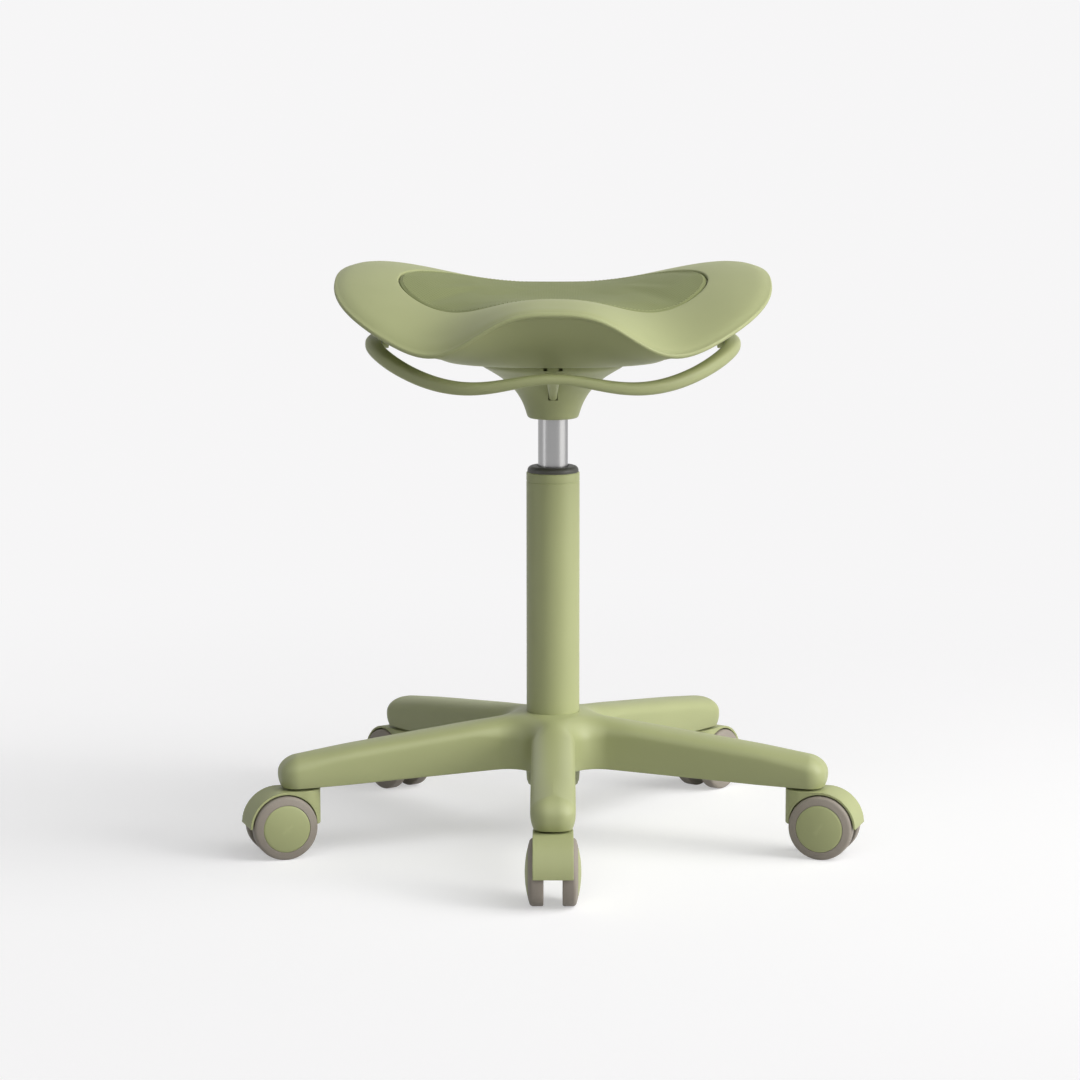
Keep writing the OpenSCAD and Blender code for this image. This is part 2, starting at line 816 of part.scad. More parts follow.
module stem_sleeves() {
    color(dark)
    at_arms() translate([stem_circle_r, 0, arm_z])
        difference() {
            cylinder(r = stem_r + sleeve_t + fit, h = sleeve_h);
            translate([0, 0, -cut]) cylinder(r = stem_r + fit, h = sleeve_h + 2 * cut);
        }
}

module caster_stems() {
    color(steel)
    at_arms() translate([stem_circle_r, 0, 0]) {
        translate([0, 0, arm_z - fit - join]) cylinder(r = stem_r, h = sleeve_h);
        translate([0, 0, arm_z - stem_flange_t]) cylinder(r = stem_flange_r, h = stem_flange_t - fit);
        translate([0, 0, stem_foot_z]) cylinder(r = stem_low_r, h = arm_z - stem_foot_z);
    }
}

// Places a piece of caster number i, drawn with its stem at the origin and its axle towards +X
module at_caster(i) {
    rotate([0, 0, first_arm + (i - 1) * 360 / arms]) translate([stem_circle_r, 0, 0]) children();
}

module caster_hood(i) {
    color(leaf)
    at_caster(i)
    difference() {
        union() {
            intersection() {
                translate([trail, 0, wheel_r])
                    rotate([90, 0, 0]) cylinder(r = hood_r, h = hood_w, center = true);
                translate([0, -hood_w, hood_low_z]) cube([trail + hood_r, 2 * hood_w, hood_r + wheel_r]);
            }
            intersection() {
                translate([hood_shift, 0, hood_low_z]) cylinder(r = hood_stem_r, h = hood_top - hood_low_z);
                translate([-hood_stem_r, -hood_w / 2, hood_low_z])
                    cube([hood_stem_r + trail, hood_w, hood_top - hood_low_z]);
            }
            translate([trail, 0, wheel_r])
                rotate([90, 0, 0]) cylinder(r = web_boss_r, h = web_w, center = true);
            translate([trail - web_boss_r, -web_w / 2, wheel_r])
                cube([2 * web_boss_r, web_w, hood_low_z - wheel_r + cut]);
        }
        for (side = [-1, 1])
            translate([trail, side * (web_w / 2 + hood_w), wheel_r])
                rotate([90, 0, 0]) cylinder(r = arch_r, h = 2 * hood_w, center = true);
        translate([trail, 0, wheel_r])
            rotate([90, 0, 0]) cylinder(r = axle_r + fit / 2, h = 2 * hood_w, center = true);
        translate([0, 0, stem_foot_z - seam]) cylinder(r = stem_low_r + fit, h = hood_top);
    }
}

module caster_axle(i) {
    color(steel)
    at_caster(i)
    translate([trail, 0, wheel_r]) rotate([90, 0, 0]) cylinder(r = axle_r, h = axle_l, center = true);
}

// Wheel beside the hood's web, side 1 towards +Y and side -1 towards -Y
module wheel_core(i, side) {
    bore = axle_r + fit;
    bore_end = (axle_l - wheel_gap) / 2 + seam;
    color(leaf)
    at_caster(i)
    translate([trail, side * wheel_gap / 2, wheel_r])
    rotate([-90 * side, 0, 0])
    rotate_extrude()
        polygon([
            [bore, 0], [wheel_hub_r, 0], [wheel_hub_r, wheel_recess], [disc_r - wheel_rim_t, wheel_recess],
            [disc_r - wheel_rim_t, 1], [disc_r, 1], [disc_r, disc_face - disc_edge],
            [disc_r - disc_edge, disc_face], [disc_r * 0.6, disc_face + disc_bulge * 0.75],
            [0, disc_face + disc_bulge], [0, bore_end], [bore, bore_end],
        ]);
}

module tyre(i, side) {
    color(tyre_grey)
    at_caster(i)
    translate([trail, side * wheel_gap / 2, wheel_r])
    rotate([-90 * side, 0, 0])
    rotate_extrude()
        polygon(concat(
            [[disc_r + fit, disc_edge], [wheel_r - 1.5, 0], [wheel_r, 1.5]],
            arc(wheel_r - tread_round, tread_w - tread_round - 0.5, tread_round, 0, 90, 5),
            [[disc_r + fit, tread_w]]
        ));
}

// Middle of the lever's tube at an angle, 0 towards +X
function loop_point(a) =
    let (
        r = outline_r(a, loop_rx, sin(a) < 0 ? loop_front : loop_back, saddle_power),
        x = r * cos(a),
        y = r * sin(a),
        hump = loop_hump * exp(-pow(x / hump_half, 2)),
        front_z = hump - loop_fall * pow(max(0, -y / loop_front), loop_power),
        back_z = loop_back_rise * pow(max(0, y / loop_back), loop_power)
    )
    [x, y, pivot_z + (y < 0 ? front_z : back_z)];

// Section of the tube around its middle line, level and square to the line
function loop_section(a) =
    let (
        p = loop_point(a),
        d = loop_point(a + 1) - loop_point(a - 1),
        flat = sqrt(d.x * d.x + d.y * d.y),
        out = [d.y / flat, -d.x / flat, 0],
        h = tube_h + (tube_side_h - tube_h) * (p.y < 0 ? 1 - exp(-pow(p.x / hump_half, 2)) : 1)
    )
    [
        for (k = [0:tube_sides - 1])
            let (b = 360 * k / tube_sides, r = outline_r(b, tube_w / 2, h / 2, tube_power))
            p + out * (r * cos(b)) + [0, 0, r * sin(b)]
    ];

module loop_tube() {
    n = tube_sides;
    m = loop_steps;
    points = [for (i = [0:m - 1]) each loop_section(360 * i / m)];
    faces = [
        for (i = [0:m - 1], j = [0:n - 1])
            let (
                a = i * n + j,
                b = i * n + (j + 1) % n,
                c = ((i + 1) % m) * n + j,
                d = ((i + 1) % m) * n + (j + 1) % n
            )
            each [[a, b, d], [a, d, c]]
    ];
    polyhedron(points, faces);
}

// Spoke that runs from the loop's front into the housing and pulls the crank
module spoke() {
    root_y = -loop_front + 1;
    root_z = loop_point(270).z - 1.4;
    tip_y = -housing_foot_r - 8;
    translate([0, spoke_bar_y, spoke_tip_z])
        rotate([0, 90, 0]) cylinder(r = spoke_bar_r, h = spoke_tip_w, center = true);
    difference() {
        union() {
            hull() {
                translate([-spoke_root_w / 2, root_y, root_z - 3]) cube([spoke_root_w, 4, spoke_h]);
                translate([-spoke_tip_w / 2, tip_y, spoke_tip_z - spoke_h / 2])
                    cube([spoke_tip_w, 2, spoke_h]);
            }
            translate([-spoke_tip_w / 2, tip_y, spoke_tip_z - spoke_h / 2])
                cube([spoke_tip_w, spoke_bar_y - tip_y, spoke_h]);
        }
        translate([-spoke_slot_w / 2, tip_y + spoke_slot_y, spoke_tip_z - spoke_h])
            cube([spoke_slot_w, spoke_bar_y - tip_y - spoke_slot_y + cut, 2 * spoke_h]);
        hull() {
            translate([spoke_rail - spoke_root_w / 2, root_y + 8, root_z + 1.2])
                cube([spoke_root_w - 2 * spoke_rail, 1, spoke_groove]);
            translate([spoke_rail - spoke_tip_w / 2, tip_y, spoke_tip_z + spoke_h / 2 + 0.2 - spoke_groove])
                cube([spoke_tip_w - 2 * spoke_rail, 1, spoke_groove]);
        }
    }
}

module ring_lever() {
    color(leaf)
    difference() {
        union() {
            loop_tube();
            spoke();
        }
        for (side = [-1, 1])
            translate([side * (loop_rx - tube_w / 2 + pin_hole_in_tube / 2 - cut), 0, pivot_z])
                rotate([0, 90, 0])
                    cylinder(r = pivot_d / 2 + fit, h = pin_hole_in_tube + 2 * cut, center = true);
    }
}

// Pivot pins from the lugs into the sides of the loop
module lever_pins() {
    pin_from = lug_x - lug_t / 2;
    pin_to = loop_rx - tube_w / 2 + pin_in_tube;
    color(steel)
    for (side = [-1, 1])
        translate([side * (pin_from + pin_to) / 2, 0, pivot_z])
            rotate([0, 90, 0]) cylinder(r = pivot_d / 2, h = pin_to - pin_from, center = true);
}

base_star();
column_tube();
column_collar();
guide_sleeve();
lower_race();
bearing_balls();
stem_sleeves();
caster_stems();
piston_rod();
piston();
upper_race();
rod_clip();
lift_cylinder();
rod_guide();
valve_body();
mechanism_housing();
seat_plate();
under_shell();
seat_shell();
seat_pad();
plate_screws();
shell_screws();
lever_pins();
crank_pin();
ring_lever();
valve_crank();
valve_pin();
for (i = [1:arms]) {
    caster_hood(i);
    caster_axle(i);
    wheel_core(i, 1);
    tyre(i, 1);
    wheel_core(i, -1);
    tyre(i, -1);
}
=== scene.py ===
# %% [markdown]
# A saddle stool, dressed for its portrait.
#
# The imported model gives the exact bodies: where every piece sits, how it moves and how big it is.
# This notebook gives them their looks: soft moulded edges, a padded inlay with its knitted grid,
# satin plastic, ground steel and rubber. Lengths in the shapes are in millimetres, as on a workshop
# drawing, and the helper that makes a mesh turns them into Blender's metres.

import json
import math

import bmesh
import bpy
import numpy as np
from mathutils import Matrix, Vector


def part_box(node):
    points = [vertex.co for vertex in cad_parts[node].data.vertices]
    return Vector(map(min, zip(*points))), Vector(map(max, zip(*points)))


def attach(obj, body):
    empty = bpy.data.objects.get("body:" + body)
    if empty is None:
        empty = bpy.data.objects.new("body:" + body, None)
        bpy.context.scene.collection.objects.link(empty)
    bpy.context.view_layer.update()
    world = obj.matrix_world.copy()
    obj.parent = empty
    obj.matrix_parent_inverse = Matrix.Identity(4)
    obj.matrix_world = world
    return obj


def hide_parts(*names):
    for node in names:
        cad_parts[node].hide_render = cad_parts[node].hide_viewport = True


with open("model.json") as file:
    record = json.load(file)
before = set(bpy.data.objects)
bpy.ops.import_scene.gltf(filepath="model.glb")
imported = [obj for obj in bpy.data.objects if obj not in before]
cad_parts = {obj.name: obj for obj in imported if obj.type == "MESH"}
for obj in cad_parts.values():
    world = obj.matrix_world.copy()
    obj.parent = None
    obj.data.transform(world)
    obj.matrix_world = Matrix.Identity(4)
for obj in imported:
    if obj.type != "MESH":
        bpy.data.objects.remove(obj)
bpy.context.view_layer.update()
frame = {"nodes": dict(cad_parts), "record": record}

# %% [markdown]
# The sizes come from the frame wherever a node's box gives them, so that a piece made here sits
# where the construction says. The rest are the drawing's own numbers, written out once.

# %% Heights and radii, in millimetres
MM = 0.001


def low(piece):
    """Lowest corner of a CAD node, in millimetres."""
    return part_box(piece)[0] * 1000


def high(piece):
    """Highest corner of a CAD node, in millimetres."""
    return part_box(piece)[1] * 1000


SEAT_FLOOR = low("under_shell").z
SEAT_MIDDLE = SEAT_FLOOR + 64.5
HOUSING_FOOT = low("mechanism_housing").z
HUB_FOOT = low("base_star").z
HUB_TOP = high("base_star").z
COLUMN_TOP = high("column_tube").z
COLUMN_RADIUS = high("column_tube").x
COLLAR_TOP = high("column_collar").z
PIVOT_HEIGHT = (low("lever_pins").z + high("lever_pins").z) / 2
WHEEL_RADIUS = high("tyre_left_1").z / 2
STEM_CIRCLE = 245.0
TRAIL = 20.5
ARMS = 5
ARM_ANGLES = [math.radians(270 + 360 / ARMS * k) for k in range(ARMS)]
for label, value in (("seat floor", SEAT_FLOOR), ("hub top", HUB_TOP), ("wheel radius", WHEEL_RADIUS)):
    print(label, round(value, 2))

# %% [markdown]
# The photograph is taken from the front, about 3.4 m away, with a long lens that looks down by
# less than nine degrees. The stool stands a little right of the middle, which the lens shift gives.

# %% Camera
# The photograph's width, the lens and its shift are in pixels, the sensor in millimetres.
PHOTO_WIDTH, FOCAL_LENGTH, SHIFT = 1080, 3654.5, -13
SENSOR = 36
CAMERA_PLACE, CAMERA_DIP = (0, -3.4, 0.8105), 0.15345


def add_object(name, data):
    """Puts a mesh, a lamp or a camera into the scene as an object."""
    thing = bpy.data.objects.new(name, data)
    bpy.context.scene.collection.objects.link(thing)
    return thing


photo_lens = bpy.data.cameras.new("photo_lens")
photo_lens.sensor_width = SENSOR
photo_lens.lens = SENSOR * FOCAL_LENGTH / PHOTO_WIDTH
photo_lens.shift_x = SHIFT / PHOTO_WIDTH
photo_lens.clip_end = 60
camera = add_object("photo_camera", photo_lens)
camera.location = CAMERA_PLACE
camera.rotation_euler = (math.radians(90) - CAMERA_DIP, 0, 0)
bpy.context.scene.camera = camera
bpy.context.scene.view_settings.view_transform = "Standard"
print("lens in mm:", round(photo_lens.lens, 1))

# %% [markdown]
# Node trees read better when each node is written with its links in one line. These helpers add a
# node, fill its sockets with numbers or links, and hand it back. Maths nodes are so common that they
# get a shorter call of their own.

# %% Helpers for node trees


def node(tree, kind, settings=None, **inputs):
    """Adds a node. An input is a number, a colour, or another node's output socket."""
    made = tree.nodes.new(kind)
    for key, value in (settings or {}).items():
        setattr(made, key, value)
    for key, value in inputs.items():
        numbered = key[0] == "i" and key[1:].isdigit()
        socket = made.inputs[int(key[1:]) if numbered else key.replace("_", " ")]
        if isinstance(value, bpy.types.NodeSocket):
            tree.links.new(value, socket)
        else:
            socket.default_value = value
    return made


def calc(tree, operation, *values):
    """A maths node, with numbers or sockets as its values. Returns the socket of its result."""
    inputs = {f"i{k}": value for k, value in enumerate(values)}
    return node(tree, "ShaderNodeMath", {"operation": operation}, **inputs).outputs[0]


def new_material(name):
    """A material with an empty node tree."""
    material = bpy.data.materials.new(name)
    material.use_nodes = True
    material.node_tree.nodes.clear()
    return material, material.node_tree


# %% [markdown]
# The backdrop is a white studio. The world lights the stool with a plain soft grey, while the
# camera, and anything shiny, sees it as near white. The floor is a pale matt sheet that takes the
# stool's shadow close by and fades into the backdrop's colour further out, so no horizon shows.

# %% World and floor
BACKDROP = (0.925, 0.92, 0.925, 1)
FILL_COLOUR, FILL = (1, 0.99, 0.98, 1), 0.02
FLOOR_COLOUR, FLOOR_LIFT = (0.6, 0.6, 0.608, 1), 0.485
FADE_START, FADE_END = 0.45, 1.5

world = bpy.data.worlds.new("studio")
bpy.context.scene.world = world
world.use_nodes = True
tree = world.node_tree
tree.nodes.clear()
rays = node(tree, "ShaderNodeLightPath").outputs
shown = calc(tree, "MAXIMUM", rays["Is Camera Ray"], rays["Is Glossy Ray"])
shown = calc(tree, "MAXIMUM", shown, rays["Is Transmission Ray"])
fill = node(tree, "ShaderNodeBackground", Color=FILL_COLOUR, Strength=FILL)
back = node(tree, "ShaderNodeBackground", Color=BACKDROP, Strength=1)
pick = node(tree, "ShaderNodeMixShader", i0=shown, i1=fill.outputs[0], i2=back.outputs[0])
node(tree, "ShaderNodeOutputWorld", Surface=pick.outputs[0])

floor_mesh = bpy.data.meshes.new("studio_floor")
floor_mesh.from_pydata([(-12, -12, 0), (12, -12, 0), (12, 30, 0), (-12, 30, 0)], [], [(0, 1, 2, 3)])
studio_floor = add_object("studio_floor", floor_mesh)

paper, tree = new_material("floor_paper")
place = node(tree, "ShaderNodeTexCoord").outputs["Object"]
reach = node(tree, "ShaderNodeVectorMath", {"operation": "LENGTH"}, i0=place).outputs["Value"]
fade = node(
    tree, "ShaderNodeMapRange", {"interpolation_type": "SMOOTHSTEP"},
    Value=reach, From_Min=FADE_START, From_Max=FADE_END,
)
rays = node(tree, "ShaderNodeLightPath").outputs
shown = calc(tree, "MAXIMUM", rays["Is Camera Ray"], rays["Is Glossy Ray"])
matt = node(tree, "ShaderNodeBsdfDiffuse", Color=FLOOR_COLOUR)
lift = calc(tree, "MULTIPLY", shown, FLOOR_LIFT)
pale = node(tree, "ShaderNodeEmission", Color=BACKDROP, Strength=lift)
near = node(tree, "ShaderNodeAddShader", i0=matt.outputs[0], i1=pale.outputs[0])
far = node(tree, "ShaderNodeEmission", Color=BACKDROP, Strength=1)
amount = calc(tree, "MULTIPLY", fade.outputs["Result"], shown)
mixed = node(tree, "ShaderNodeMixShader", i0=amount, i1=near.outputs[0], i2=far.outputs[0])
node(tree, "ShaderNodeOutputMaterial", Surface=mixed.outputs[0])
floor_mesh.materials.append(paper)
print("floor fades from", FADE_START, "to", FADE_END, "m")

# %% [markdown]
# Two tall softboxes stand beside the stool, a broad one on the right and a narrow one on the left.
# They make the light and dark bands down the steel cylinder. The left one shows only in reflections,
# because the stool's left side is the shaded one. Three wide, soft suns do the rest: one from the
# window on the right, one from high up on the right, and one from above the camera.

# %% Lamps
WINDOW = (1, 0.985, 0.96)
WHITE = (1, 1, 1)


def place_lamp(name, data, place, aim):
    """Hangs a lamp at a place, in metres, and turns it to the aim."""
    thing = add_object(name, data)
    thing.location = place
    thing.rotation_euler = (Vector(aim) - Vector(place)).to_track_quat("-Z", "Y").to_euler()
    thing.visible_camera = False
    return thing


def softbox(name, place, width, height, brightness, colour):
    """An upright sheet of light, as bright as the number says, where 1 is white."""
    data = bpy.data.lights.new(name, "AREA")
    data.shape = "RECTANGLE"
    data.size = width
    data.size_y = height
    data.energy = brightness * math.pi * width * height
    data.color = colour
    return place_lamp(name, data, place, (0, 0, place[2]))


def soft_sun(name, towards, strength, angle, colour):
    """Light from far away, from the point towards. A wide angle makes its shadows soft."""
    data = bpy.data.lights.new(name, "SUN")
    data.energy = strength
    data.angle = math.radians(angle)
    data.color = colour
    place_lamp(name, data, towards, (0, 0, 0))


softbox("box_right", (1.5, -0.25, 1.0), 1.5, 2.0, 1.25, WINDOW)
box_left = softbox("box_left", (-1.4, -0.5, 1.0), 0.45, 2.0, 1.5, WHITE)
box_left.visible_diffuse = False
soft_sun("window_right", (0.87, -0.38, 0.3), 1.15, 22, WINDOW)
soft_sun("high_right", (0.7, -0.2, 0.8), 1.55, 50, WHITE)
soft_sun("high_front", (0.0, -0.7, 0.7), 0.85, 60, WHITE)

# %% [markdown]
# Almost the whole stool is one colour: a soft leaf green, moulded in plastic or sprayed on metal.
# The plastic has a fine spark-eroded grain that breaks up its sheen, faint cloudiness from the
# moulding, and edges that are rubbed a little lighter. All of it is made from noise on Object
# coordinates, which stay fixed to the piece when it moves.

# %% Finishes: leaf green plastic and paint
LEAF = (0.38, 0.408, 0.198)
RUBBED_FROM, RUBBED_TO, RUBBED_MOST, RUBBED_TINT = 0.515, 0.6, 0.35, 1.22


def tint(colour, factor):
    """A colour made lighter or darker by a factor."""
    return (colour[0] * factor, colour[1] * factor, colour[2] * factor, 1)


def ramp(tree, value, first, last):
    """Turns a value into a colour. first and last are each a position and its colour."""
    made = node(tree, "ShaderNodeValToRGB", Fac=value)
    for stop, (position, colour) in zip(made.color_ramp.elements, (first, last)):
        stop.position = position
        stop.color = colour
    return made.outputs["Color"]


def finish_with(tree, **inputs):
    """Ends a material with the standard shader, whose inputs are named as on the node."""
    skin = node(tree, "ShaderNodeBsdfPrincipled", **inputs)
    node(tree, "ShaderNodeOutputMaterial", Surface=skin.outputs[0])


def leaf_finish(name, grain, depth, rough, specular, cloud):
    """Green plastic or paint: grain is the number of bumps per metre, depth their height in metres."""
    material, tree = new_material(name)
    place = node(tree, "ShaderNodeTexCoord").outputs["Object"]
    haze = node(tree, "ShaderNodeTexNoise", Vector=place, Scale=9.0, Detail=3.0, Roughness=0.55)
    tone = ramp(tree, haze.outputs["Fac"], (0.3, tint(LEAF, 1 - cloud)), (0.7, tint(LEAF, 1 + cloud)))
    corner = node(tree, "ShaderNodeNewGeometry").outputs["Pointiness"]
    rubbed = node(
        tree, "ShaderNodeMapRange", Value=corner, From_Min=RUBBED_FROM, From_Max=RUBBED_TO, To_Max=RUBBED_MOST
    )
    worn = node(
        tree, "ShaderNodeMix", {"data_type": "RGBA"},
        i0=rubbed.outputs["Result"], A=tone, B=tint(LEAF, RUBBED_TINT),
    )
    fine = node(tree, "ShaderNodeTexNoise", Vector=place, Scale=grain, Detail=2.0, Roughness=0.6)
    fine = fine.outputs["Fac"]
    sheen = node(tree, "ShaderNodeMapRange", Value=fine, To_Min=rough - 0.06, To_Max=rough + 0.06)
    bump = node(tree, "ShaderNodeBump", Strength=0.6, Distance=depth, Height=fine)
    finish_with(
        tree, Base_Color=worn.outputs["Result"], Roughness=sheen.outputs["Result"],
        Specular_IOR_Level=specular, Normal=bump.outputs["Normal"],
    )
    return material


leaf_plastic = leaf_finish("leaf_plastic", 1500, 0.00012, 0.52, 0.42, 0.035)
leaf_paint = leaf_finish("leaf_paint", 2300, 0.00008, 0.45, 0.45, 0.02)
print("finishes:", leaf_plastic.name, leaf_paint.name)

# %% [markdown]
# The steel cylinder is ground on a lathe, so its scratches run round it. Stretching a noise along
# the circle would need an angle; stretching it flat in X and Y and fine in Z gives the same rings,
# because every ring lies level. Rubber and dark plastic are dull, with a fine speckle.

# %% Finishes: steel, dark plastic, rubber, brass
LATHE_RINGS, ALL_OVER = (6, 6, 2600), (900, 900, 900)
SPECKLE = 0.12


def steel_finish(name, colour, rough, scratches):
    """Bare metal: scratches that darken it a little and catch the light, as fine as their scale says."""
    material, tree = new_material(name)
    place = node(tree, "ShaderNodeTexCoord").outputs["Object"]
    stretch = node(tree, "ShaderNodeMapping", Vector=place, Scale=scratches).outputs[0]
    scratch = node(tree, "ShaderNodeTexNoise", Vector=stretch, Scale=1.0, Detail=4.0, Roughness=0.7)
    scratch = scratch.outputs["Fac"]
    shade = ramp(tree, scratch, (0, tint(colour, 0.86)), (1, tint(colour, 1.12)))
    gloss = node(tree, "ShaderNodeMapRange", Value=scratch, To_Min=rough - 0.06, To_Max=rough + 0.08)
    bump = node(tree, "ShaderNodeBump", Strength=0.35, Distance=0.00003, Height=scratch)
    finish_with(
        tree, Metallic=1.0, Base_Color=shade, Roughness=gloss.outputs["Result"], Normal=bump.outputs["Normal"]
    )
    return material


def dull_finish(name, colour, rough, grain, depth):
    """Rubber and dark plastic: a rough skin with a fine speckle."""
    material, tree = new_material(name)
    place = node(tree, "ShaderNodeTexCoord").outputs["Object"]
    fine = node(tree, "ShaderNodeTexNoise", Vector=place, Scale=grain, Detail=3.0, Roughness=0.65)
    fine = fine.outputs["Fac"]
    broad = node(tree, "ShaderNodeTexNoise", Vector=place, Scale=28.0, Detail=2.0)
    both = calc(tree, "MULTIPLY_ADD", fine, 0.5, 0.25)
    both = calc(tree, "MULTIPLY_ADD", broad.outputs["Fac"], 0.5, both)
    shade = ramp(tree, both, (0.45, tint(colour, 1 - SPECKLE)), (0.95, tint(colour, 1 + SPECKLE)))
    gloss = node(tree, "ShaderNodeMapRange", Value=fine, To_Min=rough - 0.07, To_Max=rough + 0.07)
    bump = node(tree, "ShaderNodeBump", Strength=0.5, Distance=depth, Height=fine)
    finish_with(tree, Base_Color=shade, Roughness=gloss.outputs["Result"], Normal=bump.outputs["Normal"])
    return material


ground_steel = steel_finish("ground_steel", (0.335, 0.335, 0.335), 0.3, LATHE_RINGS)
bright_steel = steel_finish("bright_steel", (0.56, 0.56, 0.56), 0.32, ALL_OVER)
black_steel = dull_finish("black_steel", (0.035, 0.035, 0.034), 0.42, 900, 0.00005)
dark_plastic = dull_finish("dark_plastic", (0.042, 0.042, 0.034), 0.5, 1400, 0.00008)
tyre_rubber = dull_finish("tyre_rubber", (0.285, 0.252, 0.212), 0.62, 1100, 0.00012)
valve_brass = steel_finish("valve_brass", (0.55, 0.42, 0.18), 0.35, ALL_OVER)
print("finishes so far:", len(bpy.data.materials))

# %% [markdown]
# Every CAD node that stays in view needs a finish too. Each one takes the finish of its slot in
# the record, and pieces made further down hide the nodes that they stand for.

# %% Finishes for the CAD nodes
by_slot = {
    "sage_plastic": leaf_plastic,
    "sage_metal": leaf_paint,
    "sage_foam": leaf_plastic,
    "steel": bright_steel,
    "dark_steel": black_steel,
    "dark_plastic": dark_plastic,
    "tyre": tyre_rubber,
    "brass": valve_brass,
}
slot_of = {part["node"]: part["material_slot"] for part in frame["record"]["subparts"]}
for name, thing in frame["nodes"].items():
    thing.data.materials.clear()
    thing.data.materials.append(by_slot[slot_of[name]])
print("nodes with a finish:", len(slot_of))

# %% [markdown]
# A few helpers make most of the shapes. A grid of points becomes a mesh, a profile is turned on a
# lathe, and a last look over the mesh closes its seams and turns its faces outwards. One more helper
# hangs the finished piece on its body.

# %% Helpers for shapes


def polar(radius, angle):
    """The point at a distance from the origin, in the direction of an angle in radians."""
    return radius * math.cos(angle), radius * math.sin(angle)


def make_mesh(name, points, faces, sharp=40):
    """A mesh object from points in millimetres, smooth but for edges sharper than that angle."""
    mesh = bpy.data.meshes.new(name)
    places = [tuple(float(c) * MM for c in p) for p in points]
    mesh.from_pydata(places, [], [tuple(int(i) for i in f) for f in faces])
    mesh.validate()
    mesh.update()
    mesh.shade_smooth()
    mesh.set_sharp_from_angle(angle=math.radians(sharp))
    return add_object(name, mesh)


def mend(thing, within=1e-6):
    """Merges doubled points and turns every face outwards. Returns the number of open edges."""
    work = bmesh.new()
    work.from_mesh(thing.data)
    bmesh.ops.remove_doubles(work, verts=work.verts, dist=within)
    bmesh.ops.recalc_face_normals(work, faces=work.faces)
    open_edges = sum(len(edge.link_faces) != 2 for edge in work.edges)
    work.to_mesh(thing.data)
    work.free()
    thing.data.update()
    return open_edges


def grid_faces(rows, columns, around=True, closed=False):
    """Faces of a grid of points. around joins the last column to the first, closed the last row."""
    faces = []
    for i in range(rows if closed else rows - 1):
        for j in range(columns if around else columns - 1):
            a, b = i * columns + j, i * columns + (j + 1) % columns
            c, d = ((i + 1) % rows) * columns + j, ((i + 1) % rows) * columns + (j + 1) % columns
            faces.append((a, b, d, c))
    return faces


def lathe(name, profile, segments):
    """Turns a closed profile of (radius, height) round the Z axis."""
    points = []
    for r, z in profile:
        points += [(*polar(r, 2 * math.pi * k / segments), z) for k in range(segments)]
    thing = make_mesh(name, points, grid_faces(len(profile), segments, closed=True), 35)
    mend(thing)
    return thing


def dress(thing, body, slot, material, *nodes):
    """Gives a finished piece its finish and its body, and hides the CAD nodes that it stands for."""
    if material is not None:
        thing.data.materials.clear()
        thing.data.materials.append(material)
    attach(thing, body)
    if nodes:
        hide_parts(*nodes)
    print(f"{thing.name}: {len(thing.data.polygons)} faces on {body}")


# %% [markdown]
# The saddle is one flowing surface, and it follows a rule: two wings that rise like part of a sine,
# a fall at the front where the thighs pass, a low crest left between them, and a shallow dish to sit
# in. Written as a function of x and y, the same rule makes the shell, the pad and the dish below.

# %% The saddle's rule
HALF_WIDTH, HALF_DEPTH, OUTLINE_POWER = 203.5, 165.0, 2.35
PAD_HALF_WIDTH, PAD_HALF_DEPTH = 143.5, 100.0
WING_RISE, WING_REACH, WING_END, WING_POWER = 20.7, 174, 1.25, 2.8
LEVEL_Y, FRONT_FALL, BACK_FALL = 72, 77, 12
THIGH_SHARE, THIGH_HALF = 0.932, 88.5
DISH_DEPTH, DISH_Y, DISH_HALF, DISH_LENGTH = 6, -30, 120, 52
CREST_RISE, CREST_Y, CREST_HALF, CREST_LENGTH = 4.5, -114, 60, 34
EDGE_START, EDGE_BAND, EDGE_FALL = 0.93, 0.07, 3
SHELL_RIM, SHELL_EXTRA = 4.5, 4.5
UNDER_SHARE, UNDER_GAP, UNDER_WALL = 0.96, 0.5, 2.2
UNDER_LEVEL, UNDER_RISE, UNDER_POWER = 0.5, 0.46, 1.15


def outline_radius(angle, rx, ry, power):
    """Distance from the middle to a rounded outline, at an angle in radians."""
    return (np.abs(np.cos(angle) / rx) ** power + np.abs(np.sin(angle) / ry) ** power) ** (-1 / power)


def seat_share(x, y):
    """How far out a point lies: 0 in the middle of the seat, 1 on its outline."""
    across, along = np.abs(x) / HALF_WIDTH, np.abs(y) / HALF_DEPTH
    return (across**OUTLINE_POWER + along**OUTLINE_POWER) ** (1 / OUTLINE_POWER)


def seat_top(x, y):
    """Height of the saddle's upper surface, in millimetres."""
    wing = WING_RISE * np.sin(np.radians(90 * np.minimum(np.abs(x) / WING_REACH, WING_END))) ** WING_POWER
    front = np.maximum(0, LEVEL_Y - y) / (LEVEL_Y + HALF_DEPTH)
    behind = np.maximum(0, y - LEVEL_Y) / (HALF_DEPTH - LEVEL_Y)
    thigh = 1 - THIGH_SHARE * np.exp(-((np.abs(x) / THIGH_HALF) ** 3))
    dish = np.exp(-(((y - DISH_Y) / DISH_LENGTH) ** 2) - (x / DISH_HALF) ** 2)
    crest = np.exp(-(((y - CREST_Y) / CREST_LENGTH) ** 2) - (x / CREST_HALF) ** 2)
    edge = np.maximum(0, seat_share(x, y) - EDGE_START) / EDGE_BAND
    height = SEAT_MIDDLE + wing - FRONT_FALL * thigh * front**2 - BACK_FALL * behind**2
    return height - DISH_DEPTH * dish + CREST_RISE * crest - EDGE_FALL * edge**2


